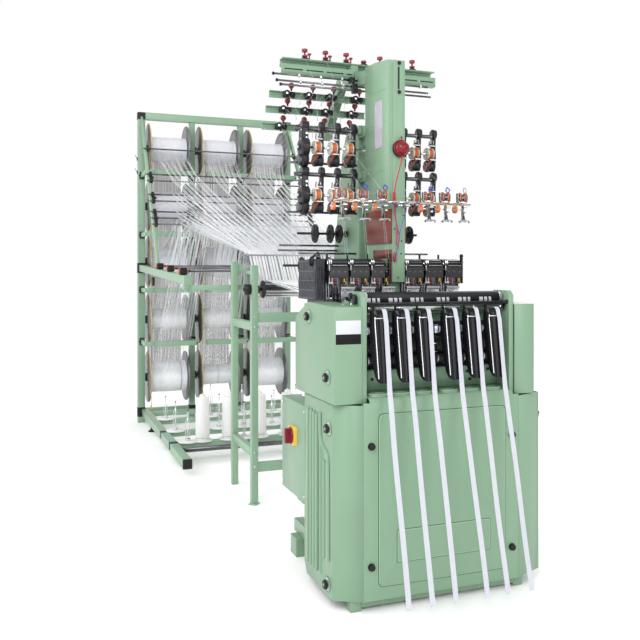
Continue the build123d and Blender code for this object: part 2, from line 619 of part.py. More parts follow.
with BuildPart() as drive_belt:
    # open belt round both pulleys: outer run minus the inner run
    d = math.hypot(MAIN_Y - MOTOR_Y, MAIN_Z - MOTOR_Z)
    ang = math.atan2(MAIN_Z - MOTOR_Z, MAIN_Y - MOTOR_Y)
    base = Plane.YZ.offset(DRIVE_X - 11 + OX)

    def run(extra):
        with BuildSketch(base) as hull_sk:
            with Locations((MAIN_Y + OY, MAIN_Z)):
                Circle(95 + extra)
            with Locations((MOTOR_Y + OY, MOTOR_Z)):
                Circle(38 + extra)
            beta = math.acos((95 - 38) / d)
            pts = []
            for sgn in (1, -1):
                t = ang + math.pi + sgn * beta
                pts.append((MAIN_Y + OY + (95 + extra) * math.cos(t), MAIN_Z + (95 + extra) * math.sin(t)))
                pts.append((MOTOR_Y + OY + (38 + extra) * math.cos(t), MOTOR_Z + (38 + extra) * math.sin(t)))
            with BuildLine():
                Polyline(pts[0], pts[1], pts[3], pts[2], close=True)
            make_face()
        return hull_sk.sketch

    extrude(run(6.0), amount=22)
    extrude(run(0.6), amount=22, mode=Mode.SUBTRACT)
keep(drive_belt, "drive_belt")

# =========================== control box ===================================
BOX_Y0, BOX_Y1, BOX_Z0, BOX_Z1 = 317.0, 580.0, 270.0, 612.0
with BuildPart() as control_box:
    block(-366, -306, BOX_Y0, BOX_Y1, BOX_Z0, BOX_Z1)
    block(-367, -309, BOX_Y0 + 3, BOX_Y1 - 3, BOX_Z0 + 3, BOX_Z1 - 3, mode=Mode.SUBTRACT)
    block(-350, -309.2, 400, 470, 244, 269.8)
    block(-340, -309.2, 345, 540, 310, 570)
    for y in (370, 520):
        for z in (330, 550):
            rod_x(-308.9, -285.2, y, z, 9)
keep(control_box, "control_box")

with BuildPart() as control_box_door:
    block(-373, -366.5, BOX_Y0, BOX_Y1, BOX_Z0, BOX_Z1)
    # yellow switch plate's boss
    block(-386, -373, 405, 470, 455, 520)
keep(control_box_door, "control_box_door")

with BuildPart() as switch_handle:
    rod_x(-392, -386.4, 437.5, 487.5, 27)
    block(-410, -392, 429, 446, 461, 514)
keep(switch_handle, "switch_handle")

# =========================== tower =========================================
with BuildPart() as tower_column:
    # upper hollow section with a bevelled front corner, sloping top
    plan_profile([(TOWER_X0, TOWER_Y0 + 7), (TOWER_X0 + 25, TOWER_Y0), (TOWER_X1, TOWER_Y0),
                  (TOWER_X1, TOWER_Y1), (TOWER_X0, TOWER_Y1)], 1325, 1876)
    side_profile([(TOWER_Y0 - 5, TOWER_TOP), (TOWER_Y0 - 5, 1900), (TOWER_Y1 + 5, 1900), (TOWER_Y1 + 5, 1876),
                  (TOWER_Y0 + 120, 1872)], TOWER_X0 - 5, TOWER_X1 + 5, mode=Mode.SUBTRACT)
    # slot in the front face
    block(-21, -13, TOWER_Y0 - 1, TOWER_Y0 + 5, 1750, 1832, mode=Mode.SUBTRACT)
    # narrower lower section, and the leg down to the machine's deck
    block(-43, 8, TOWER_Y0, TOWER_Y1 + 18, 1131.5, 1325)
    block(-43, 7, 340, 470, DECK_Z + 0.3, 1131.5)
    block(-43, 7, TOWER_Y0, 340, 1046, 1131.5)
keep(tower_column, "tower_column")

with BuildPart() as tower_panels:
    # brown laminate covers, left and right, upper and lower
    block(-47.5, -43.2, 301, TOWER_Y1 + 15, 1187, 1314)
    block(8.2, 12.7, 301, TOWER_Y1 + 15, 1187, 1314)
    block(-47.5, -43.2, 301, 458, 1134, 1165)
keep(tower_panels, "tower_panels")

with BuildPart() as rear_column:
    # cast column behind the tower, with the arm that carries the tension bars
    side_profile([(575.5, 985), (575.5, 1665), (640, 1665), (712, 1640), (752, 1570), (800, 1330), (835, 1190),
                  (850, 1110), (850, 985)], -58, -6)
    # two tie blocks to the tower; the feeders' carrier rods rest on them
    block(-40, -20, TOWER_Y1 + 0.5, 575.3, 1580, 1623.8)
    block(-40, -20, TOWER_Y1 + 0.5, 575.3, 1400, 1448.8)
    # arm
    side_profile([(TOWER_Y1 + 0.5, 1815), (TOWER_Y1 + 0.5, 1868), (800, 1912), (835, 1902), (1036, 1701),
                  (1003, 1667), (808, 1862), (760, 1850)], -48, -12)
    block(-56, -8, 575.5, 850, 950, 984.8)
keep(rear_column, "rear_column")

with BuildPart() as signal_lamp:
    rod_y(-13, 284, 299.7, 1532, 30)
    ball(-13, 284, 1532, 27)
    block(-60, 40, 299.7, 330, 1490, 1580, mode=Mode.SUBTRACT)
    rod_z(-13, 286, 1566, 1576, 3)
keep(signal_lamp, "signal_lamp")

# =========================== thread path hardware ==========================
BARS = ((820.0, 1817.0), (870.0, 1764.0), (930.0, 1703.0))
with BuildPart() as tension_bars:
    # upper pair of channels
    block(-340, 338, 712, 718, 1903, 1935)
    block(-340, 338, 676, 711.8, 1931, 1935)
    for x0, x1 in ((-358, -48.5), (-11.5, 322)):
        block(x0, x1, 640, 644, 1860, 1899)
        block(x0, x1, 644.2, 668, 1895, 1899)
        block(x0, x1, 644.2, 668, 1860, 1864)
    block(-46, -14, 680, 708, 1900, 1930.8)
    # three single bars
    for y, z in BARS:
        block(-354, 95, y - 3, y + 3, z - 14, z + 14)
        block(-354, 95, y - 12, y - 3.2, z + 10.5, z + 14)
        block(-354, 95, y - 12, y - 3.2, z - 14, z - 10.5)
        for x in (-60, -6.5):
            block(x, x + 11, y + 3.2, y + 22, z - 12, z + 12)
keep(tension_bars, "tension_bars")

KNOB_X = (-273.0, -178.0, -85.0, 33.0)


def tensioner(x, y, z):
    """washer tensioner with its spring post and red knob"""
    rod_y(x - 12, y - 34, y - 12.4, z + 2, 13)
    rod_y(x + 14, y - 30, y - 12.4, z - 2, 10)
    block(x - 26, x + 24, y - 16, y - 12.4, z - 13, z + 13)
    rod_z(x + 8, y - 24, z + 14, z + 24, 3.5)
    ball(x + 8, y - 24, z + 36, 12.5)


with BuildPart() as thread_tensioners:
    for y, z in BARS:
        for x in KNOB_X:
            tensioner(x, y, z)
    for x in (-242, -153, -62, 16, 90, 240):
        rod_z(x, 694, 1935.2, 1941, 15)
        rod_z(x, 694, 1941, 1947, 5)
        if x == 16:
            rod_z(x, 694, 1947, 1955, 11)
            continue
        rod_z(x, 694, 1947, 1953, 11)
        rod_z(x, 694, 1953, 1968, 4)
        rod_z(x, 694, 1968, 1978, 12)
keep(thread_tensioners, "thread_tensioners")

with BuildPart() as guide_rods:
    # thin guide rods along the thread path
    for x0, x1, y, z, r in ((-405, -48.4, 610, 1848, 4), (-11.6, 268, 610, 1848, 4), (-395, 262, 596, 1820, 4),
                            (-391, 255, 560, 1796, 4),
                            (-335, -58.4, 598, 1507, 4.5), (-350, -58.4, 598, 1315, 4.5),
                            (-301, -58.4, 600, 1155, 4), (-5.6, 262, 600, 1155, 4),
                            (-320, -58.4, 790, 1192, 4), (-320, -58.4, 806, 1172, 4)):
        rod_x(x0, x1, y, z, r)
    # separator discs
    rod_x(-272, -66, 700, 1238, 5)
    rod_x(-5.6, 264, 700, 1238, 5)
    for x in (-196, -130, -92, 92, 160, 228):
        rod_x(x - 3, x + 3, 700, 1238, 38)
        rod_x(x - 12, x + 12, 700, 1238, 17)
    rod_x(-300, -66, 800, 1109, 5)
    for x in (-219, -147, -100):
        rod_x(x - 3, x + 3, 800, 1109, 36)
        rod_x(x - 12, x + 12, 800, 1109, 16)
    # brackets that tie the rods to the cast column and the tower
    for y, z in ((700, 1238), (800, 1109)):
        rod_x(-65.8, -58.2, y, z, 12)
keep(guide_rods, "guide_rods")

for tag, zf, zr in (("upper", FEED_Z_UP, ROD_Z_UP), ("lower", FEED_Z_LOW, ROD_Z_LOW)):
    with BuildPart() as feed_wheels:
        rod_x(-332, -66, FEED_Y, zf, 4.5)
        rod_x(10, 272, FEED_Y, zf, 4.5)
        rod_x(-66, 10, FEED_Y, zf, 4.5)
        for x in FEED_X:
            rod_x(x - 9, x + 9, FEED_Y, zf, 22)
            rod_x(x - 12, x - 9, FEED_Y, zf, 25)
            rod_x(x + 9, x + 12, FEED_Y, zf, 25)
    keep(feed_wheels, f"feed_wheels_{tag}")

with BuildPart() as feeder_brackets:
    for zf, zr in ((FEED_Z_UP, ROD_Z_UP), (FEED_Z_LOW, ROD_Z_LOW)):
        # carrier rod
        rod_x(-335, 260, FEED_Y, zr, 8)
        for x in FEED_X + [-294.0]:
            x0, x1 = (x + 15, x + 23) if x > -260 else (x - 10, x + 10)
            # hanger plate: lobes at the rod, stem, foot disc
            side_profile([(FEED_Y - 16, zr + 6), (FEED_Y + 16, zr + 6), (FEED_Y + 18, zf + 20), (FEED_Y + 34, zf - 20),
                          (FEED_Y + 30, zf - 66), (FEED_Y - 6, zf - 70), (FEED_Y - 16, zf - 20),
                          (FEED_Y - 12, zf + 24)], x0, x1)
            rod_x(x0 - 4, x1 + 4, FEED_Y, zr + 10, 19)
            rod_x(x0 - 12, x1 + 2, FEED_Y + 12, zf - 48, 22)
            rod_x(x0 - 14, x1 + 8, FEED_Y, zf, 6.2, mode=Mode.SUBTRACT)
keep(feeder_brackets, "feeder_brackets")

with BuildPart() as thread_sensors:
    rod_x(-292, 252, SENSE_Y, SENSE_Z, 5)
    for x in (-34, -4):
        block(x, x + 8, SENSE_Y - 3, TOWER_Y0 - 0.4, SENSE_Z - 14, SENSE_Z - 5.2)
    for x in SENSE_X:
        # two eyelet discs above, one roller below, on a small block
        block(x - 14, x + 18, SENSE_Y - 10, SENSE_Y + 10, SENSE_Z + 3, SENSE_Z + 10)
        for dx in (-10, 12):
            rod_x(x + dx - 3, x + dx + 3, SENSE_Y - 4, SENSE_Z + 24, 16)
        rod_x(x - 36, x - 27, SENSE_Y - 8, SENSE_Z - 20, 14)
        rod_x(x - 26.8, x + 1.8, SENSE_Y - 2, SENSE_Z - 20, 3)
        block(x + 2, x + 8, SENSE_Y - 4, SENSE_Y + 4, SENSE_Z - 62, SENSE_Z - 4)
        block(x - 10, x + 18, SENSE_Y - 5, SENSE_Y + 5, SENSE_Z - 66, SENSE_Z - 62)
keep(thread_sensors, "thread_sensors")

# lamp's lead: from the lamp down the tower's front corner to its plug
LEAD = [(-13, 281, 1502), (-22, 276, 1470), (-32, 279, 1432), (-40, 283, 1392), (-45, 285, 1350),
        (-42, 286, 1304), (-33, 286, 1260), (-30, 287, 1218), (-33, 288, 1180)]
LEAD_R = 2.2
pts = [Vector(x + OX, y + OY, z) for x, y, z in LEAD]
radii = []
for a, b, c in zip(pts, pts[1:], pts[2:]):
    turn = math.radians((b - a).get_angle(c - b))
    radii.append(0.45 * min((b - a).length, (c - b).length) / math.tan(turn / 2))
print("lead radii", [round(r, 1) for r in radii])
with BuildPart() as lamp_lead:
    with BuildLine() as lead_path:
        FilletPolyline(*pts, radius=radii)
    with BuildSketch(Plane(origin=lead_path.line @ 0, z_dir=lead_path.line % 0)):
        Circle(LEAD_R)
    sweep()
lead_length = sum(e.length for e in lead_path.edges())
print("lead length", round(lead_length, 1), "volume check",
      round(lamp_lead.part.volume / (math.pi * LEAD_R ** 2 * lead_length), 4))
keep(lamp_lead, "lamp_lead")
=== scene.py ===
import bpy
import bmesh
import math
import random
from mathutils import Vector, Matrix


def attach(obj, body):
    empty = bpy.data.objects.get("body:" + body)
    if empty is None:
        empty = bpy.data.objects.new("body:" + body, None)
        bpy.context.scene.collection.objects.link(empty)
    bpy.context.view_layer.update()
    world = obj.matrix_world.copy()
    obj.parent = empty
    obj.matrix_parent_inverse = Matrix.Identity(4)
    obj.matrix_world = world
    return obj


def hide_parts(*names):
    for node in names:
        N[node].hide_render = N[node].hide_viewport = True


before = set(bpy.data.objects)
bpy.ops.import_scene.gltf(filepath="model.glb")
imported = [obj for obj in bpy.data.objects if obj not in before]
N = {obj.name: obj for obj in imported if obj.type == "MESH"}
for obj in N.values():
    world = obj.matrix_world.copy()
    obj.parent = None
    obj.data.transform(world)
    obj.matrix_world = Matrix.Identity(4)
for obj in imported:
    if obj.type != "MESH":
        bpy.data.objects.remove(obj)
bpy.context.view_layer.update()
rnd = random.Random(20)

# ---------------------------------------------------------------------------
# Working coordinates in millimetres: x from the machine's middle, y from the
# front panel, z from the floor. W() turns them into the row frame in metres.
# ---------------------------------------------------------------------------
OX, OY = -15.0, -1701.855


def W(x, y, z):
    return Vector(((x + OX) / 1000.0, (y + OY) / 1000.0, z / 1000.0))


# ============================ camera ========================================
cam_data = bpy.data.cameras.new("camera")
cam = bpy.data.objects.new("camera", cam_data)
bpy.context.scene.collection.objects.link(cam)
cam.location = W(-1273.65, -2243.99, 1090.0)
cam.rotation_euler = (math.radians(90), 0, math.radians(-20.475))
cam_data.sensor_width = 36.0
cam_data.lens = 36.0 * 774.0 / 640.0
cam_data.shift_y = -0.078
cam_data.clip_start, cam_data.clip_end = 0.05, 60.0
cam_data.dof.use_dof = False
bpy.context.scene.camera = cam
bpy.context.scene.view_settings.view_transform = "Standard"


# ============================ materials =====================================
def nodes_of(name):
    m = bpy.data.materials.new(name)
    m.use_nodes = True
    nt = m.node_tree
    return m, nt, nt.nodes["Principled BSDF"]


def material(name, color, rough=0.5, metal=0.0, var=0.08, var_scale=6.0, bump=0.0, bump_scale=300.0,
             rough_var=0.06, coat=0.0, coat_rough=0.1, spec=0.5, sheen=0.0, stretch=(1, 1, 1), dirt=None,
             bands=None, emit=0.0):
    """a finished surface: colour that drifts, roughness that drifts, and a fine relief"""
    m, nt, b = nodes_of(name)
    L = nt.links.new
    tc = nt.nodes.new("ShaderNodeTexCoord")
    mp = nt.nodes.new("ShaderNodeMapping")
    mp.inputs["Scale"].default_value = stretch
    L(tc.outputs["Object"], mp.inputs["Vector"])
    n1 = nt.nodes.new("ShaderNodeTexNoise")
    n1.inputs["Scale"].default_value = var_scale
    n1.inputs["Detail"].default_value = 5.0
    L(mp.outputs["Vector"], n1.inputs["Vector"])
    ramp = nt.nodes.new("ShaderNodeValToRGB")
    dark = [c * (1 - var) for c in color]
    light = [min(1.0, c * (1 + var)) for c in color]
    ramp.color_ramp.elements[0].position = 0.3
    ramp.color_ramp.elements[1].position = 0.7
    ramp.color_ramp.elements[0].color = (*dark, 1)
    ramp.color_ramp.elements[1].color = (*light, 1)
    L(n1.outputs["Fac"], ramp.inputs["Fac"])
    col = ramp.outputs["Color"]
    if dirt:
        n3 = nt.nodes.new("ShaderNodeTexNoise")
        n3.inputs["Scale"].default_value = dirt[1]
        n3.inputs["Detail"].default_value = 8.0
        L(tc.outputs["Object"], n3.inputs["Vector"])
        r3 = nt.nodes.new("ShaderNodeMapRange")
        r3.inputs["From Min"].default_value = dirt[2]
        r3.inputs["From Max"].default_value = dirt[2] + 0.14
        L(n3.outputs["Fac"], r3.inputs["Value"])
        mx = nt.nodes.new("ShaderNodeMix")
        mx.data_type = "RGBA"
        sc = nt.nodes.new("ShaderNodeMath")
        sc.operation = "MULTIPLY"
        sc.inputs[1].default_value = dirt[3]
        L(r3.outputs["Result"], sc.inputs[0])
        L(sc.outputs[0], mx.inputs["Factor"])
        L(col, mx.inputs[6])
        mx.inputs[7].default_value = (*dirt[0], 1)
        col = mx.outputs[2]
    height = None
    if bands:
        axis, freq, depth, amount = bands
        wv = nt.nodes.new("ShaderNodeTexWave")
        wv.wave_type = "BANDS"
        wv.bands_direction = axis
        wv.inputs["Scale"].default_value = freq
        wv.inputs["Distortion"].default_value = 1.2
        wv.inputs["Detail"].default_value = 2.0
        wv.inputs["Detail Scale"].default_value = 1.5
        L(tc.outputs["Object"], wv.inputs["Vector"])
        mb = nt.nodes.new("ShaderNodeMix")
        mb.data_type = "RGBA"
        fac = nt.nodes.new("ShaderNodeMath")
        fac.operation = "MULTIPLY"
        fac.inputs[1].default_value = amount
        L(wv.outputs["Fac"], fac.inputs[0])
        L(fac.outputs[0], mb.inputs["Factor"])
        L(col, mb.inputs[6])
        mb.inputs[7].default_value = (*[c * 0.62 for c in color], 1)
        col = mb.outputs[2]
        height = (wv.outputs["Fac"], depth)
    L(col, b.inputs["Base Color"])
    rr = nt.nodes.new("ShaderNodeMapRange")
    rr.inputs["To Min"].default_value = max(0.02, rough - rough_var)
    rr.inputs["To Max"].default_value = min(1.0, rough + rough_var)
    L(n1.outputs["Fac"], rr.inputs["Value"])
    L(rr.outputs["Result"], b.inputs["Roughness"])
    b.inputs["Metallic"].default_value = metal
    b.inputs["Specular IOR Level"].default_value = spec
    b.inputs["Coat Weight"].default_value = coat
    b.inputs["Coat Roughness"].default_value = coat_rough
    if sheen:
        b.inputs["Sheen Weight"].default_value = sheen
    if emit:
        b.inputs["Emission Color"].default_value = (*color, 1)
        b.inputs["Emission Strength"].default_value = emit
    last = None
    if bump:
        n2 = nt.nodes.new("ShaderNodeTexNoise")
        n2.inputs["Scale"].default_value = bump_scale
        n2.inputs["Detail"].default_value = 3.0
        L(mp.outputs["Vector"], n2.inputs["Vector"])
        bp = nt.nodes.new("ShaderNodeBump")
        bp.inputs["Strength"].default_value = bump
        bp.inputs["Distance"].default_value = 0.0006
        L(n2.outputs["Fac"], bp.inputs["Height"])
        last = bp
    if height:
        bp2 = nt.nodes.new("ShaderNodeBump")
        bp2.inputs["Strength"].default_value = height[1]
        bp2.inputs["Distance"].default_value = 0.001
        L(height[0], bp2.inputs["Height"])
        if last:
            L(last.outputs["Normal"], bp2.inputs["Normal"])
        last = bp2
    if last:
        L(last.outputs["Normal"], b.inputs["Normal"])
    return m


GREEN = (0.178, 0.292, 0.194)
M = {}
M["green"] = material("green_enamel", GREEN, rough=0.36, var=0.035, var_scale=2.2, bump=0.10, bump_scale=420,
                      coat=0.12, coat_rough=0.30, spec=0.4, dirt=((0.13, 0.20, 0.13), 5.0, 0.60, 0.12))
M["green_light"] = material("green_enamel_rails", (0.225, 0.355, 0.242), rough=0.40, var=0.05, var_scale=5.0, bump=0.10,
                            bump_scale=500, coat=0.15, coat_rough=0.3)
M["green_cast"] = material("green_enamel_cast", (0.150, 0.250, 0.166), rough=0.42, var=0.05, var_scale=5.0,
                           bump=0.35, bump_scale=160, coat=0.2, coat_rough=0.3)
M["black"] = material("black_moulded", (0.011, 0.011, 0.013), rough=0.42, spec=0.28, var=0.25, var_scale=30, bump=0.25, bump_scale=700)
M["black_cast"] = material("black_cast_enamel", (0.011, 0.011, 0.013), rough=0.34, spec=0.28, var=0.25, var_scale=18, bump=0.30,
                           bump_scale=260, coat=0.15, coat_rough=0.3)
M["black_gloss"] = material("black_gloss_shell", (0.006, 0.006, 0.008), rough=0.09, var=0.1, rough_var=0.03, coat=0.0, spec=0.16,
                            coat_rough=0.05, var_scale=12, bump=0.02, bump_scale=60)
M["rubber"] = material("ground_rubber", (0.009, 0.009, 0.011), rough=0.48, spec=0.25, var=0.2, var_scale=40, bump=0.3, bump_scale=900)
M["chrome"] = material("ground_bright_steel", (0.72, 0.73, 0.75), rough=0.16, metal=1.0, var=0.05, var_scale=20,
                       bump=0.03, bump_scale=500, rough_var=0.06)
M["dark_rod"] = material("dark_steel_rod", (0.13, 0.13, 0.14), rough=0.26, metal=1.0, var=0.2, var_scale=14,
                         bump=0.04, bump_scale=500, rough_var=0.08)
M["flange"] = material("flange_grey", (0.185, 0.186, 0.188), rough=0.34, metal=0.65, var=0.14, var_scale=9, bump=0.12,
                       bump_scale=120, rough_var=0.08, dirt=((0.10, 0.10, 0.10), 8.0, 0.62, 0.35))
M["steel"] = material("brushed_steel", (0.42, 0.43, 0.45), rough=0.32, metal=1.0, var=0.10, var_scale=30, bump=0.10,
                      bump_scale=300, stretch=(1, 12, 12))
M["plate"] = material("front_plate_steel", (0.30, 0.34, 0.31), rough=0.30, metal=0.9, var=0.15, var_scale=6, bump=0.05,
                      bump_scale=200, stretch=(1, 6, 6))
# two copies of one yarn: the darker one, also on the beams' own yarn, is painted shade for the upper rows; the whiter
# one is painted light for the lower rows
M["yarn"] = material("wound_yarn", (0.74, 0.745, 0.80), rough=0.34, var=0.05, var_scale=14, bump=0.25, bump_scale=380,
                     stretch=(4, 1, 1), sheen=0.2, bands=("X", 55.0, 0.35, 0.07), coat=0.12, coat_rough=0.35)
M["yarn_painted_light"] = material("wound_yarn_painted_light", (0.92, 0.925, 0.96), rough=0.34, var=0.04, var_scale=14, bump=0.25,
                           bump_scale=380, stretch=(4, 1, 1), sheen=0.2, bands=("X", 55.0, 0.35, 0.04), coat=0.1,
                           coat_rough=0.35)
M["cone"] = material("cone_yarn", (0.74, 0.74, 0.73), rough=0.62, var=0.03, var_scale=30, bump=0.5, bump_scale=260,
                     stretch=(1, 1, 7), sheen=0.3, bands=("DIAGONAL", 46.0, 0.4, 0.07))
M["thread"] = material("warp_thread", (0.56, 0.565, 0.61), rough=0.35, var=0.16, var_scale=3.0, bump=0.0)
# painted shade: a dark grey copy of the white warp thread, for the sheets seen behind the packages
M["thread_painted_shade"] = material("warp_thread_painted_shade", (0.20, 0.19, 0.19), rough=0.5, var=0.45, var_scale=2.0, bump=0.0)
M["thread_white"] = material("warp_thread_white", (0.86, 0.87, 0.88), rough=0.4, var=0.05, var_scale=8.0, bump=0.0)
M["tape"] = material("elastic_tape", (0.50, 0.51, 0.56), rough=0.62, var=0.03, var_scale=50, bump=0.6, bump_scale=700,
                     stretch=(1, 1, 1), sheen=0.25, bands=("Z", 120.0, 0.5, 0.10))
M["rope"] = material("brake_rope", (0.62, 0.47, 0.10), rough=0.75, var=0.30, var_scale=60, bump=0.7, bump_scale=500,
                     dirt=((0.30, 0.22, 0.07), 40.0, 0.55, 0.6))
M["orange"] = material("orange_moulded", (0.52, 0.125, 0.030), rough=0.42, var=0.12, var_scale=20, bump=0.12, bump_scale=300)
M["belt"] = material("brown_belt", (0.15, 0.035, 0.014), rough=0.5, var=0.2, var_scale=30, bump=0.3, bump_scale=500)
M["white"] = material("white_enamel", (0.78, 0.78, 0.77), rough=0.36, var=0.04, var_scale=20, bump=0.06, bump_scale=300)
M["ivory"] = material("ivory_ceramic", (0.52, 0.48, 0.40), rough=0.25, var=0.06, var_scale=30, bump=0.03, bump_scale=200,
                      coat=0.4, coat_rough=0.1)
M["laminate"] = material("brown_laminate", (0.150, 0.030, 0.018), rough=0.40, spec=0.3, var=0.16, var_scale=26, bump=0.10,
                         bump_scale=400, stretch=(1, 1, 0.08), coat=0.3, coat_rough=0.2, bands=("Y", 34.0, 0.12, 0.10))
M["red"] = material("red_moulded", (0.20, 0.004, 0.018), rough=0.32, spec=0.3, var=0.12, var_scale=30, bump=0.05, bump_scale=300,
                    coat=0.4, coat_rough=0.1)
M["lamp"] = material("red_lens", (0.17, 0.002, 0.008), rough=0.16, var=0.10, var_scale=40, bump=0.04, bump_scale=120,
                     coat=0.12, coat_rough=0.06, spec=0.35)
M["red_lead"] = material("red_lead", (0.36, 0.012, 0.010), rough=0.40, var=0.06, var_scale=60, bump=0.08, bump_scale=400)
M["blue"] = material("blue_lead", (0.025, 0.06, 0.42), rough=0.38, var=0.08, var_scale=60, bump=0.08, bump_scale=400)
M["yellow"] = material("yellow_moulded", (0.62, 0.40, 0.03), rough=0.40, var=0.06, var_scale=30, bump=0.06, bump_scale=300)
M["clamp"] = material("clamp_steel", (0.62, 0.63, 0.78), rough=0.34, metal=0.75, var=0.12, var_scale=30, bump=0.05,
                       bump_scale=300)
# painted shade: a darker copy of the green enamel, laid as thin lines on the shadow side of ribs, outlines and washer
# rims
M["green_painted_shade"] = material("green_enamel_painted_shade", (0.070, 0.130, 0.080), rough=0.5, var=0.08, var_scale=8.0, bump=0.05)
# painted highlight: a lighter copy of the green enamel, laid as thin lines on the lit side of ribs and outlines, and as
# glints behind knobs and screws
M["green_glint"] = material("green_enamel_painted_highlight", (0.330, 0.490, 0.350), rough=0.3, var=0.04, var_scale=8.0, bump=0.05,
                            coat=0.2)
M["motor"] = material("motor_enamel", (0.10, 0.15, 0.21), rough=0.42, var=0.10, var_scale=12, bump=0.3, bump_scale=180)
M["label"] = material("bare_label", (0.46, 0.45, 0.50), rough=0.38, metal=0.35, var=0.10, var_scale=26, bump=0.04,
                      bump_scale=300)
M["label_white"] = material("bare_label_white", (0.52, 0.53, 0.57), rough=0.30, var=0.02, var_scale=26, bump=0.02,
                            bump_scale=300)
M["label_black"] = material("bare_label_black", (0.008, 0.008, 0.009), rough=0.45, spec=0.12, var=0.1, var_scale=26, bump=0.02,
                            bump_scale=300)
# painted shade: a near-black stand-in for holes, slots, sockets and the shaded insides of the machine
M["dark"] = material("hole_painted_shade", (0.010, 0.012, 0.011), rough=0.7, var=0.2, var_scale=20, bump=0.05, bump_scale=200)
M["harness"] = material("harness_wires", (0.085, 0.09, 0.10), rough=0.35, metal=0.6, var=0.45, var_scale=60, bump=0.6,
                        bump_scale=420, stretch=(1, 3, 0.4))
M["brass"] = material("brass_bits", (0.60, 0.38, 0.10), rough=0.30, metal=0.9, var=0.10, var_scale=30, bump=0.05,
                      bump_scale=300)


def clear_sheet():
    m, nt, b = nodes_of("clear_sheet")
    L = nt.links.new
    tc = nt.nodes.new("ShaderNodeTexCoord")
    n1 = nt.nodes.new("ShaderNodeTexNoise")
    n1.inputs["Scale"].default_value = 14.0
    L(tc.outputs["Object"], n1.inputs["Vector"])
    rr = nt.nodes.new("ShaderNodeMapRange")
    rr.inputs["To Min"].default_value = 0.06
    rr.inputs["To Max"].default_value = 0.16
    L(n1.outputs["Fac"], rr.inputs["Value"])
    L(rr.outputs["Result"], b.inputs["Roughness"])
    b.inputs["Base Color"].default_value = (0.30, 0.33, 0.34, 1)
    b.inputs["Alpha"].default_value = 0.42
    b.inputs["IOR"].default_value = 1.49
    return m


M["clear"] = clear_sheet()


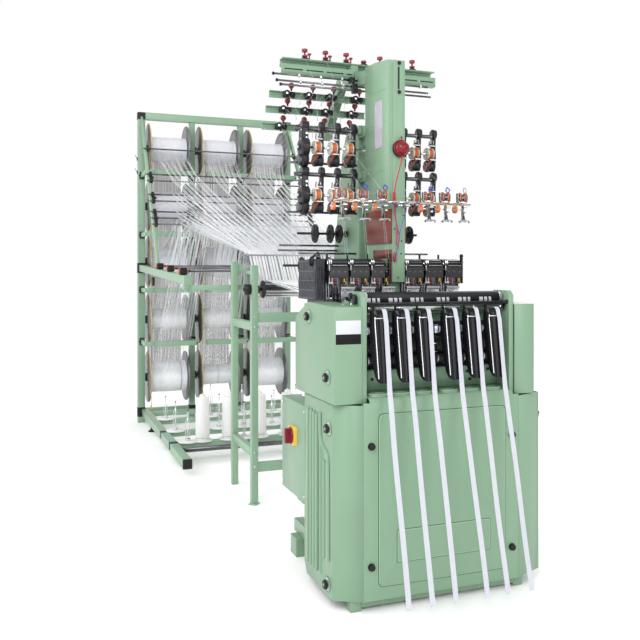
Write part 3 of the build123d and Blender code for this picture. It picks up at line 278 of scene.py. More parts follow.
# ============================ mesh kit ======================================
class Soup:
    """gathers closed shapes in working millimetres and makes one object of them"""

    def __init__(self, *mats):
        self.v, self.f, self.m, self.mats = [], [], [], list(mats)

    def slot(self, name):
        if name not in self.mats:
            self.mats.append(name)
        return self.mats.index(name)

    def add(self, verts, faces, mat):
        b, k = len(self.v), self.slot(mat)
        self.v.extend(verts)
        for f in faces:
            self.f.append([b + i for i in f])
            self.m.append(k)

    def rings(self, rings, mat, caps=True, closed=False):
        n = len(rings[0])
        verts = [p for r in rings for p in r]
        faces = []
        pairs = list(zip(range(len(rings)), range(1, len(rings))))
        if closed:
            pairs.append((len(rings) - 1, 0))
        for a, b in pairs:
            for i in range(n):
                j = (i + 1) % n
                faces.append((a * n + i, a * n + j, b * n + j, b * n + i))
        if caps and not closed:
            faces.append(tuple(range(n))[::-1])
            faces.append(tuple((len(rings) - 1) * n + i for i in range(n)))
        self.add(verts, faces, mat)

    def lathe(self, origin, axis, prof, n, mat, start=0.0):
        """a turned shape: prof is (distance along the axis, radius)"""
        o, d = Vector(origin), Vector(axis).normalized()
        u = d.orthogonal().normalized()
        w = d.cross(u)
        rings = []
        for t, r in prof:
            rings.append([o + d * t + (u * math.cos(start + 2 * math.pi * i / n) +
                                       w * math.sin(start + 2 * math.pi * i / n)) * r for i in range(n)])
        self.rings(rings, mat)

    def cyl(self, a, b, r, mat, n=14, ch=0.0, r1=None):
        a, b = Vector(a), Vector(b)
        L = (b - a).length
        r1 = r if r1 is None else r1
        if ch:
            prof = [(0, r - ch), (ch, r), (L - ch, r1), (L, r1 - ch)]
        else:
            prof = [(0, r), (L, r1)]
        self.lathe(a, b - a, prof, n, mat)

    def tube(self, path, r, mat, n=6, closed=False, taper=None):
        pts = [Vector(p) for p in path]
        rings, prev = [], None
        for i, p in enumerate(pts):
            if closed:
                t = pts[(i + 1) % len(pts)] - pts[i - 1]
            else:
                t = pts[min(i + 1, len(pts) - 1)] - pts[max(i - 1, 0)]
            t.normalize()
            if prev is None:
                u = t.orthogonal().normalized()
            else:
                u = prev - t * prev.dot(t)
                u.normalize()
            prev = u
            w = t.cross(u)
            rr = r if taper is None else r * (1 + (taper - 1) * i / (len(pts) - 1))
            rings.append([p + (u * math.cos(2 * math.pi * k / n) + w * math.sin(2 * math.pi * k / n)) * rr
                          for k in range(n)])
        self.rings(rings, mat, closed=closed)

    def box(self, x0, x1, y0, y1, z0, z1, mat, ch=0.8):
        self.obox(((x0 + x1) / 2, (y0 + y1) / 2, (z0 + z1) / 2), (1, 0, 0), (0, 1, 0), (0, 0, 1),
                  abs(x1 - x0) / 2, abs(y1 - y0) / 2, abs(z1 - z0) / 2, mat, ch)

    def obox(self, c, ax, ay, az, hx, hy, hz, mat, ch=0.8):
        c = Vector(c)
        A = [Vector(ax).normalized(), Vector(ay).normalized(), Vector(az).normalized()]
        H = [hx, hy, hz]
        ch = min(ch, min(H) * 0.6)
        idx, verts = {}, []
        for sx in (-1, 1):
            for sy in (-1, 1):
                for sz in (-1, 1):
                    S = (sx, sy, sz)
                    for k in range(3):
                        p = c.copy()
                        for a in range(3):
                            p = p + A[a] * S[a] * (H[a] if a == k else H[a] - ch)
                        idx[(S, k)] = len(verts)
                        verts.append(p)
        faces = []
        for k in range(3):
            i, j = [a for a in range(3) if a != k]
            for s in (-1, 1):
                q = []
                for si, sj in ((-1, -1), (1, -1), (1, 1), (-1, 1)):
                    S = [0, 0, 0]
                    S[k], S[i], S[j] = s, si, sj
                    q.append(idx[(tuple(S), k)])
                faces.append(tuple(q))
            for si in (-1, 1):
                for sj in (-1, 1):
                    lo, hi = [0, 0, 0], [0, 0, 0]
                    lo[k], hi[k] = -1, 1
                    lo[i] = hi[i] = si
                    lo[j] = hi[j] = sj
                    lo, hi = tuple(lo), tuple(hi)
                    faces.append((idx[(lo, i)], idx[(hi, i)], idx[(hi, j)], idx[(lo, j)]))
        for sx in (-1, 1):
            for sy in (-1, 1):
                for sz in (-1, 1):
                    S = (sx, sy, sz)
                    faces.append((idx[(S, 0)], idx[(S, 1)], idx[(S, 2)]))
        self.add(verts, faces, mat)

    def prism(self, poly, vec, mat):
        a = [Vector(p) for p in poly]
        b = [p + Vector(vec) for p in a]
        self.rings([a, b], mat)

    def ball(self, c, r, mat, n=14, m=9, squash=(1, 1, 1)):
        c = Vector(c)
        rings = []
        for j in range(1, m):
            t = math.pi * j / m
            rings.append([c + Vector((r * squash[0] * math.sin(t) * math.cos(2 * math.pi * i / n),
                                      r * squash[1] * math.sin(t) * math.sin(2 * math.pi * i / n),
                                      r * squash[2] * math.cos(t))) for i in range(n)])
        verts = [p for q in rings for p in q]
        faces = []
        for a in range(len(rings) - 1):
            for i in range(n):
                j = (i + 1) % n
                faces.append((a * n + i, a * n + j, (a + 1) * n + j, (a + 1) * n + i))
        top, bot = len(verts), len(verts) + 1
        verts += [c + Vector((0, 0, r * squash[2])), c - Vector((0, 0, r * squash[2]))]
        last = (len(rings) - 1) * n
        for i in range(n):
            j = (i + 1) % n
            faces.append((top, j, i))
            faces.append((bot, last + i, last + j))
        self.add(verts, faces, mat)

    def torus(self, c, axis, R, r, mat, n=28, m=8):
        c, d = Vector(c), Vector(axis).normalized()
        u = d.orthogonal().normalized()
        w = d.cross(u)
        rings = []
        for i in range(n):
            a = 2 * math.pi * i / n
            e = u * math.cos(a) + w * math.sin(a)
            rings.append([c + e * (R + r * math.cos(2 * math.pi * k / m)) + d * r * math.sin(2 * math.pi * k / m)
                          for k in range(m)])
        self.rings(rings, mat, closed=True)

    def screw(self, p, d, r, mat="chrome", h=None, hexa=False):
        """a screw head standing on a face at p, along d, with its washer"""
        p, d = Vector(p), Vector(d).normalized()
        h = h or r * 0.7
        self.lathe(p, d, [(0, r * 1.35), (r * 0.22, r * 1.3)], 16, mat)
        self.lathe(p + d * r * 0.22, d, [(0, r), (h * 0.75, r), (h, r * 0.75)], 6 if hexa else 14, mat)

    def make(self, name, body="root", angle=38.0, slot=None):
        me = bpy.data.meshes.new(name)
        me.from_pydata([W(*p) for p in self.v], [], self.f)
        for k in self.mats:
            me.materials.append(M[k])
        me.polygons.foreach_set("material_index", self.m)
        bm = bmesh.new()
        bm.from_mesh(me)
        bmesh.ops.recalc_face_normals(bm, faces=bm.faces)
        bm.to_mesh(me)
        bm.free()
        me.polygons.foreach_set("use_smooth", [True] * len(me.polygons))
        me.set_sharp_from_angle(angle=math.radians(angle))
        me.update()
        ob = bpy.data.objects.new(name, me)
        bpy.context.scene.collection.objects.link(ob)
        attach(ob, body)
        return ob


def arm_top(y):
    """height of a creel arm's upper face"""
    return 1060.0 + (y - 1652.0) * 0.0387


def smooth_path(points, step=6.0):
    """a Catmull-Rom line through the points"""
    P = [Vector(p) for p in points]
    P = [P[0] * 2 - P[1]] + P + [P[-1] * 2 - P[-2]]
    out = []
    for i in range(1, len(P) - 2):
        n = max(2, int((P[i + 1] - P[i]).length / step))
        for k in range(n):
            t = k / n
            a, b, c, d = P[i - 1], P[i], P[i + 1], P[i + 2]
            out.append(0.5 * ((2 * b) + (c - a) * t + (2 * a - 5 * b + 4 * c - d) * t * t +
                              (3 * b - a - 3 * c + d) * t ** 3))
    out.append(P[-2])
    return out


# ============================ CAD nodes =====================================
def finish_node(name, mats, pick=None, bevel=0.0, angle=35.0):
    """materials, smooth shading and a small edge break on a node"""
    ob = N[name]
    me = ob.data
    me.materials.clear()
    for k in mats:
        me.materials.append(M[k])
    if pick:
        for p in me.polygons:
            c = p.center
            p.material_index = pick(c.x * 1000 - OX, c.y * 1000 - OY, c.z * 1000, p.normal)
    else:
        for p in me.polygons:
            p.material_index = 0
    me.polygons.foreach_set("use_smooth", [True] * len(me.polygons))
    w = ob.modifiers.new("weld", "WELD")
    w.merge_threshold = 0.00002
    if bevel:
        b = ob.modifiers.new("edge", "BEVEL")
        b.width = bevel / 1000.0
        b.segments = 2
        b.limit_method = "ANGLE"
        b.angle_limit = math.radians(40)
        b.harden_normals = False
    try:
        me.set_sharp_from_angle(angle=math.radians(angle))
    except Exception:
        pass


BEAM_Z = [1960.0, 1545.0, 1150.0, 733.0, 320.0]
BEAM_X = [-350.0, 15.0, 380.0]
POST_X = [-532.5, -167.5, 197.5, 562.5]
CREEL_Y = 3410.0
YARN_R = [[90.0, 90.0, 88.0], [106.0, 100.0, 98.0], [102.0, 108.0, 100.0], [70.0, 73.0, 70.0], [108.0, 72.0, 103.0]]
CHUTE_X = [-260.0, -181.0, -101.0, -3.0, 79.0, 162.0]
FEED_X = [-243.0, -177.0, -110.0, 110.0, 176.0, 243.0]
SENSE_X = [-265.0, -186.0, -110.0, 72.0, 142.0, 214.0]
BARS = ((820.0, 1817.0), (870.0, 1764.0), (930.0, 1703.0))
KNOB_X = (-273.0, -178.0, -85.0, 33.0)
GROUPS = ((-293.0, -47.0), (8.0, 254.0))

for r in range(5):
    for c in range(3):
        cx, cz, yr = BEAM_X[c], BEAM_Z[r], YARN_R[r][c]

        def pick(x, y, z, nrm, cx=cx, cz=cz, yr=yr):
            d = math.hypot(y - CREEL_Y, z - cz)
            if abs(x - cx) < 130.9:
                return 1
            return 2 if d < 20 else 0
        finish_node(f"warp_beam_r{r + 1}c{c + 1}", ["flange", "yarn", "dark_rod"], pick)

for n in ("stand_frame", "creel_frame"):
    finish_node(n, ["green_light", "black"], (lambda x, y, z, nrm: 1 if (z < 50 and 1700 < y < 3200) else 0)
                if n == "creel_frame" else None, bevel=1.6)
for n in ("machine_frame", "front_panel", "lower_cover_left", "lower_cover_right", "upper_cover_right",
          "control_box", "tower_column"):
    finish_node(n, ["green"], bevel=1.2)
# faces inside the frame behind the chutes take the near-black hole material as painted shade
finish_node("machine_frame", ["green", "steel", "dark", "chrome"],
            lambda x, y, z, nrm: 3 if (880 < z < 906 and 50 < y < 75 and abs(x) < 266.5) else
            (2 if (z > 760 and z < 870 and 85 < y < 147 and abs(x) < 266.5) else
             (1 if (z > 940 and 170 < y < 235 and abs(x) < 266.5) else 0)), bevel=0.0)
finish_node("upper_cover_left", ["green", "label_white", "label_black"],
            lambda x, y, z, nrm: (1 if z > 886.5 else 2) if (y < 17.9 and -378 < x < -288 and 854 < z < 931) else 0,
            bevel=1.2)
finish_node("control_box_door", ["green", "yellow"], lambda x, y, z, nrm: 1 if x < -373.2 else 0, bevel=1.0)
finish_node("switch_handle", ["red"], bevel=1.2)
finish_node("rear_column", ["green_cast"], bevel=5.0)
finish_node("beam_bearings", ["black"], bevel=1.0)
finish_node("creel_rods", ["chrome", "black", "dark_rod"],
            lambda x, y, z, nrm: 1 if (z > 1330 and (abs(x + 516) < 18 or abs(x - 546) < 18)) else
            (1 if (1059 < z < 1136 and (abs(x + 532.5) < 16.6 or abs(x - 562.5) < 16.6)) else 2))
finish_node("brake_cords", ["rope"])
finish_node("cone_plates", ["white", "chrome"], lambda x, y, z, nrm: 1 if z > 104.1 else 0, bevel=0.6)
finish_node("warp_roller", ["dark_rod", "black", "chrome"],
            lambda x, y, z, nrm: 1 if (x < -319 or abs(abs(x) - 258) < 5) else
            (2 if math.hypot(y - 1241, z - 1000) > 25 else 0))
finish_node("guard_plate", ["clear", "green_light"], lambda x, y, z, nrm: 1 if y < 1399.9 else 0)
finish_node("cover_knobs", ["black"], bevel=0.8)
finish_node("pressure_roller", ["rubber", "chrome"], lambda x, y, z, nrm: 1 if abs(x) > 249.9 else 0)
finish_node("take_up_roller", ["steel", "chrome"], lambda x, y, z, nrm: 1 if abs(x) > 249.9 else 0)
finish_node("comb_bar", ["black", "plate", "chrome"],
            lambda x, y, z, nrm: 1 if y > 43.5 else (2 if x > 260 and y < 40 else 0))
finish_node("heald_rack", ["black_cast"], bevel=1.6)
finish_node("heald_frames_odd", ["dark_rod"])
finish_node("heald_frames_even", ["steel"])
finish_node("sley", ["steel"])
finish_node("needle_bar", ["chrome"])
finish_node("main_shaft", ["steel"])
finish_node("motor", ["motor"], bevel=1.5)
finish_node("motor_pulley", ["steel"])
finish_node("drive_belt", ["rubber"])
finish_node("tower_panels", ["laminate"], bevel=0.8)
finish_node("signal_lamp", ["lamp", "black"], lambda x, y, z, nrm: 1 if (y > 284.3 and z < 1565) else 0)
finish_node("tension_bars", ["green"], bevel=0.9)
finish_node("guide_rods", ["dark_rod", "black"],
            lambda x, y, z, nrm: 1 if (1060 < z < 1150 or 1195 < z < 1280) else 0)


def pick_tension(x, y, z, nrm):
    if y > 678 and z > 1934:
        return 1 if z > 1941.1 else 0
    for by, bz in BARS:
        for kx in KNOB_X:
            if (Vector((x, y, z)) - Vector((kx + 8, by - 24, bz + 36))).length < 13.2:
                return 1
    return 0


finish_node("thread_tensioners", ["black", "red"], pick_tension, bevel=0.0)


def pick_feed(x, y, z, nrm):
    for fx in FEED_X:
        if abs(x - fx) < 8.9:
            return 0
        if abs(x - fx) < 12.1:
            return 1
    return 2


for n in ("feed_wheels_upper", "feed_wheels_lower"):
    finish_node(n, ["orange", "ivory", "chrome"], pick_feed)
finish_node("feeder_brackets", ["black_cast", "dark_rod"],
            lambda x, y, z, nrm: 0 if any(fx + 2 < x < fx + 28 for fx in FEED_X) or (x < -280 and x > -308) else 1,
            bevel=1.2)


def pick_sense(x, y, z, nrm):
    if z > 1339.5:
        return 1 if z > 1341.5 else 0
    if z < 1275:
        return 0
    for sx in SENSE_X:
        if sx - 36.5 < x < sx - 26.9 and z < 1327:
            return 2
    return 0


finish_node("thread_sensors", ["chrome", "ivory", "orange"], pick_sense)
finish_node("elastic_tapes", ["tape"])
finish_node("tape_guides", ["black_gloss", "chrome"], lambda x, y, z, nrm: 1 if y > 53.9 else 0)
finish_node("yarn_cones", ["cone"])
finish_node("lamp_lead", ["red_lead"])

# ============================ lamp lead (free cord) =========================
LEAD = [(-13, 281, 1502), (-22, 276, 1470), (-32, 279, 1432), (-40, 283, 1392), (-45, 285, 1350),
        (-42, 286, 1304), (-33, 286, 1260), (-30, 287, 1218), (-33, 288, 1180)]
cu = bpy.data.curves.new("lamp_lead_cord", "CURVE")
cu.dimensions = "3D"
cu.resolution_u = 10
cu.bevel_depth = 0.0022
cu.bevel_resolution = 3
cu.use_fill_caps = True
sp = cu.splines.new("NURBS")
sp.points.add(len(LEAD) - 1)
for p, q in zip(sp.points, LEAD):
    p.co = (*W(*q), 1.0)
sp.order_u = 3
sp.use_endpoint_u = True
cu.materials.append(M["red_lead"])
lead = bpy.data.objects.new("lamp_lead_cord", cu)
bpy.context.scene.collection.objects.link(lead)
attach(lead, "root")
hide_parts("lamp_lead")

# ============================ tapes =========================================
TAPE_W, TAPE_T = 17.5, 1.5
TAPE_DRIFT = (-0.0134, -0.0125, -0.0110, 0.0017, -0.0087, -0.0017)


def tape_x(i, z):
    return CHUTE_X[i] + 47.0 + (960.0 - z) * TAPE_DRIFT[i]


def tape_y(z):
    if z > 700.0:
        return 1.0 - (960.0 - z) * 0.150
    return 1.0 - 39.0 - (700.0 - z) * 0.2405


def strip(name, rows, width, thick, mat, ribs=0):
    """a woven band: rows are (centre, normal, width direction); closed, with raised cords along it"""
    S = Soup()
    rings = []
    n = max(2, ribs * 2 + 1)
    for p, nrm, wd in rows:
        front, back = [], []
        for k in range(n):
            t = -0.5 + k / (n - 1)
            h = thick / 2 * (1.0 if (ribs == 0 or k % 2) else 0.62)
            front.append(p + wd * (t * width) + nrm * h)
            back.append(p + wd * (t * width) - nrm * thick / 2 * 0.8)
        rings.append(front + back[::-1])
    S.rings(rings, mat)
    return S


tapes = []
for i in range(6):
    path = [(38.0, 952.0), (33.0, 959.5), (25.0, 964.0), (16.0, 964.0), (8.5, 959.5), (3.4, 951.5), (0.6, 941.0)]
    zs = [925, 900, 870, 835, 800, 765, 735, 700, 660, 600, 530, 450, 370, 290, 210, 140, 100, 80]
    pts = []
    for y, z in path:
        pts.append((tape_x(i, z), y - 1.2, z))
    for z in zs:
        wob = 1.2 * math.sin(z / 95.0 + i * 1.7) * (1 if z < 700 else 0.25)
        pts.append((tape_x(i, z) + wob, tape_y(z) - 3.0 + (1.2 * math.sin(z / 70.0 + i) if z < 640 else 0), z))
    line = smooth_path(pts, 9.0)
    rows = []
    for k, p in enumerate(line):
        t = (line[min(k + 1, len(line) - 1)] - line[max(k - 1, 0)]).normalized()
        lean = 0.22 * min(1.0, max(0.0, (p.z - 700.0) / 60.0))
        wd = Vector((1.0, lean, 0.0)).normalized()
        nrm = wd.cross(t).normalized()
        wd = t.cross(nrm).normalized()
        if wd.x < 0:
            wd = -wd
        rows.append((p, nrm, wd))
    S = strip(f"elastic_tape_{i + 1}", rows, TAPE_W, TAPE_T, "tape", ribs=5)
    ob = S.make(f"elastic_tape_{i + 1}", slot="white_elastic", angle=60)
    length = sum((line[k + 1] - line[k]).length for k in range(len(line) - 1)) / 1000.0
    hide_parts("elastic_tapes")
    tapes.append((ob, length))
print("TAPES", [round(v[1], 3) for v in tapes])

# short pieces of tape that come round the pressure roller
S = Soup()
PR_Y, PR_Z, PR_R = 75.0, 997.0, 21.0
for i in range(6):
    for a0, wdt in ((4, 14), (24, 11), (42, 9)):
        x = CHUTE_X[i] + a0
        rows = []
        for k in range(9):
            a = math.radians(176 + 52 * k / 8)
            sh = 5.0 * k / 8
            for_r = []
            for dx, dr in ((0, 0.5), (wdt, 0.5), (wdt, 2.0), (0, 2.0)):
                for_r.append(Vector((x + dx + sh, PR_Y + (PR_R + dr) * math.cos(a), PR_Z + (PR_R + dr) * math.sin(a))))
            rows.append(for_r)
        S.rings(rows, "tape")
S.make("tape_runs", slot="white_elastic")

# ============================ chute shells ==================================
S = Soup()
for cx in CHUTE_X:
    rings = []
    spec = [(959.5, 34, 40, 5), (961.5, 34, 48, 10), (960, 34.4, 56, 16), (955, 34.8, 61, 21), (946, 35.0, 64, 25),
            (932, 35.0, 66, 27), (910, 35.0, 67, 28), (880, 34.8, 67, 28), (850, 34.0, 64, 28), (810, 33.2, 60, 27),
            (775, 32.4, 55, 25), (755, 31.8, 50, 22), (742, 31.4, 44, 17), (735, 31.0, 36, 11), (732.5, 30.8, 26, 5)]
    for z, mid, wdt, deep in spec:
        front = tape_y(min(z, 940)) - 0.2
        if z > 940:
            front += (z - 940) * 0.02 * (z - 940)
        ring = []
        n = 26
        for k in range(n + 1):
            a = math.pi * k / n
            ring.append(Vector((cx + mid - math.cos(a) * wdt / 2, front + deep * (1 - math.sin(a)), z)))
        for k in range(5, -1, -1):
            a = math.pi * (k + 0.5) / 6
            ring.append(Vector((cx + mid - math.cos(a) * (wdt / 2 - 2.5), front + deep * 1.08, z)))
        rings.append(ring)
    S.rings(rings, "black_gloss")
    # bright pin with its collars across the head, a thin chrome strip below it that is a painted highlight down the
    # shell's left side, and the clamp on the shaft
    zt, yt = 936.0, tape_y(936) + 3.6
    S.cyl((cx + 9, yt - 1.2, zt), (cx + 36, yt - 5.6, zt), 1.7, "chrome", n=12, ch=0.5)
    S.cyl((cx + 8, yt - 0.6, zt), (cx + 13, yt - 1.6, zt), 5.2, "chrome", n=16, ch=0.8)
    edge = [(cx + 11.5 + 0.008 * (930 - z), tape_y(min(z, 940)) + 28 * (1 - math.sin(math.acos(min(1, 23.0 / 33)))) - 1.5, z)
            for z in (930, 900, 870, 840, 810, 780, 756, 746)]
    S.tube(edge, 2.3, "chrome", n=8)
    x0 = max(cx - 22, -264.0)
    S.cyl((x0, 62, 893), (cx + 12, 62, 893), 14.5, "clamp", n=24, ch=1.5)
    S.box(max(cx - 15, -264.0), cx + 3, 30, 50, 881, 905, "clamp", 2.0)
    S.box(max(cx - 11, -262.0), cx - 1, 27.5, 30.4, 887, 899, "steel", 1.0)
    S.cyl((cx + 4, 44, 893), (cx + 9, 44, 893), 12.0, "clamp", n=20, ch=0.8)
    S.cyl((max(cx - 14, -262.0), 40, 846), (cx + 2, 40, 846), 1.9, "chrome", n=10, ch=0.5)
    S.cyl((max(cx - 10, -262.0), 44, 818), (cx + 2, 44, 818), 1.5, "chrome", n=10, ch=0.5)
ob = S.make("chute_shells", slot="black_gloss", angle=50)
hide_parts("tape_guides")

# dark works behind the chutes: shafts, collars, small levers, in front of a near-black back sheet of painted shade
S = Soup()
S.box(-262, 262, 146.6, 149.6, 752, 912, "dark", 0.5)
for x in range(-262, 252, 26):
    S.cyl((x, 118, 835), (x + 12, 118, 835), 29.5, "black_cast", n=28, ch=1.5)
    S.cyl((x + 4, 112, 788), (x + 10, 112, 788), 19.5, "steel", n=20, ch=1.0)
for k, cx in enumerate(CHUTE_X):
    x = cx + 70
    if x < 262:
        S.box(x - 3, x + 3, 84, 92, 800, 905, "black_cast", 1.2)
        S.screw((x, 84, 812), (0, -1, 0), 3.0, "chrome", hexa=True)
        S.screw((x, 84, 880), (0, -1, 0), 3.0, "chrome", hexa=True)
        S.cyl((x - 9, 80, 846), (x + 9, 80, 846), 1.8, "chrome", n=8)
        S.tube(smooth_path([(x, 84, 800), (x + 8, 74, 785), (x + 4, 66, 764), (x - 8, 72, 748)], 8), 1.6, "black", n=6)
for x, z in ((70, 742), (148, 739), (158, 712), (96, 716), (230, 744), (-215, 728)):
    S.cyl((x, 99.8, z), (x, 94, z), 5.2, "black", n=14, ch=0.8)
S.make("drive_works", slot="black_steel")

# ============================ front works ===================================
S = Soup()
# bearing blocks of the rollers, right-hand knob and pawl
for sx in (-1, 1):
    x0, x1 = sx * 251, sx * 266.4
    S.box(x0, x1, 56, 96, 990, 1006, "steel", 1.2)
    S.cyl((sx * 250.6, 75, 997), (sx * 266.4, 75, 997), 17, "chrome", n=24, ch=1.0)
    S.cyl((sx * 251.4, 118.5, 975), (sx * 266.4, 118.5, 975), 18, "steel", n=24, ch=1.0)
S.cyl((262, 34, 981), (284, 34, 981), 7.5, "black", n=16, ch=1.4)
S.cyl((248, 34, 981), (262, 34, 981), 5.0, "black", n=16, ch=0.8)
# guard strip under the roller
S.box(-264, 262, 40.5, 43.4, 976.5, 984, "black", 0.8)
# plate's screws
for x in (-250, -140, 26, 140, 246):
    S.screw((x, 44, 966), (0, -1, 0), 2.6, "chrome")
# cluster of screws with lobed heads on the left cheek, each on a light disc of painted highlight
for y, z in ((58, 1001), (92, 1005), (58, 987), (114, 992), (136, 996)):
    for a in range(3):
        ang = math.pi * 2 / 3 * a + 0.4 + y
        S.cyl((-293.5, y + 5.0 * math.cos(ang), z + 5.0 * math.sin(ang)),
              (-287.5, y + 5.0 * math.cos(ang), z + 5.0 * math.sin(ang)), 3.0, "black", n=14, ch=0.8)
    S.cyl((-295, y, z), (-285.2, y, z), 3.4, "black", n=16, ch=1.0)
    S.cyl((-286.2, y, z), (-285.2, y, z), 9.0, "green_glint", n=20)
# washers behind the star knobs, domed, in the lighter green of painted highlight, each ringed by a dark line of painted
# shade
for x, y, z in ((-382.2, 253, 931), (-382.2, 72, 745), (-376.2, 78, 580), (-376.2, 89, 76)):
    S.cyl((x - 0.9, y, z), (x + 0.2, y, z), 24, "green_glint", n=32, ch=0.4)
    S.torus((x - 0.4, y, z), (1, 0, 0), 23.6, 1.3, "green_painted_shade", n=36, m=6)
    S.lathe((x - 13.3, y, z), (-1, 0, 0), [(0, 9), (1.0, 8.6), (1.2, 5.2)], 20, "black")
    S.cyl((x - 15.2, y, z), (x - 13.0, y, z), 4.4, "steel", n=16, ch=0.5)
# socket heads in the panel's round screws; each socket is a flat dark hexagon of painted shade
for x, z in ((-262, 530), (262, 530), (-262, 147), (262, 147)):
    S.torus((x, -11.2, z), (0, 1, 0), 6.6, 1.5, "black", n=24, m=6)
    S.cyl((x, -11.3, z), (x, -10.9, z), 3.4, "dark", n=6)
S.make("front_fittings", slot="black_plastic")

# pale crescent lips of the ledge under the chutes, in the lighter rail green
S = Soup()
for cx in CHUTE_X:
    ring_o, ring_i = [], []
    for k in range(33):
        a = math.pi + math.pi * k / 32
        ring_o.append(Vector((cx + 38 + 36.0 * math.cos(a), 36 + 25.5 * math.sin(a), 690.2)))
    rows = []
    for k in range(33):
        a = math.pi + math.pi * k / 32
        w_ = 5.5 * math.sin(math.pi * k / 32) + 0.6
        e = Vector((math.cos(a), math.sin(a), 0))
        c0 = Vector((cx + 38, 36, 0))
        p_o = c0 + Vector((e.x * 36.5, e.y * 26, 0))
        p_i = c0 + Vector((e.x * (36.5 - w_), e.y * (26 - w_), 0))
        rows.append([p_o + Vector((0, 0, 689.2)), p_o + Vector((0, 0, 692.6)), p_i + Vector((0, 0, 692.6)),
                     p_i + Vector((0, 0, 690.0))])
    S.rings(rows, "green_light")
S.make("ledge_lips", slot="green_paint")

# pressed beads of the lower cover: long ribs, and the turned rib under the knob, with thin dark lines of painted shade
# and thin light lines of painted highlight beside them
S = Soup()
for y, z0, z1 in ((270, 92, 614), (239, 92, 613), (211, 92, 611), (184, 92, 608)):
    S.tube([(-376.8, y, z0), (-376.8, y, (z0 + z1) / 2), (-376.8, y, z1)], 7.0, "green", n=16)
    S.ball((-376.8, y, z1), 7.0, "green", n=16, m=9)
    S.ball((-376.8, y, z0), 7.0, "green", n=16, m=9)
    S.tube([(-376.4, y - 8.2, z0), (-376.4, y - 8.2, z1), (-376.4, y - 3, z1 + 8)], 1.5, "green_painted_shade", n=6)
    S.tube([(-382.4, y + 4.2, z0), (-382.4, y + 4.2, z1)], 1.1, "green_glint", n=6)
turned = smooth_path([(-376.8, 151, 621), (-376.8, 151, 575), (-376.8, 146, 536), (-376.8, 124, 512), (-376.8, 100, 504),
                      (-376.8, 84, 492), (-376.8, 79, 460), (-376.8, 78, 380), (-376.8, 77, 260), (-376.8, 77, 158)], 12)
S.tube(turned, 7.0, "green", n=16)
S.tube([p + Vector((0.5, -8.4, -3.0)) for p in turned], 1.5, "green_painted_shade", n=6)
S.tube([p + Vector((-5.8, 3.4, 1.0)) for p in turned], 1.1, "green_glint", n=6)
S.tube([(-376.8, 114, 470), (-376.8, 114, 320), (-376.8, 114, 158)], 5.4, "green", n=14)
S.tube([(-376.4, 107, 470), (-376.4, 107, 158)], 1.4, "green_painted_shade", n=6)
# outline of the raised field and of the bare plate on the front panel: a dark line of painted shade with a light line
# of painted highlight just inside it
def outline(x0, x1, z0, z1, y, r, dark, light):
    c = 16 if x1 - x0 > 400 else 5
    pts = []
    for cx_, cz_, a0 in ((x1 - c, z1 - c, 0), (x0 + c, z1 - c, 90), (x0 + c, z0 + c, 180), (x1 - c, z0 + c, 270)):
        for k in range(5):
            a = math.radians(a0 + 22.5 * k)
            pts.append((cx_ + c * math.cos(a), y, cz_ + c * math.sin(a)))
    S.tube(pts, r, dark, n=6, closed=True)
    S.tube([(px + (2.6 if px < (x0 + x1) / 2 else -2.6), y - 1.6, pz + (2.6 if pz < (z0 + z1) / 2 else -2.6)) for px, y_, pz in pts],
           r * 0.8, light, n=6, closed=True)


outline(-236.5, 236.5, 79, 631.5, 0.1, 1.5, "green_painted_shade", "green_glint")
outline(-173.5, 173.5, 151.5, 256.5, -4.4, 1.2, "green_painted_shade", "green_glint")
# sill of the base under the front panel
S.box(-284.4, 284.4, 24, 44, 12, 40, "green", 1.5)
S.make("cover_bead", slot="green_paint")

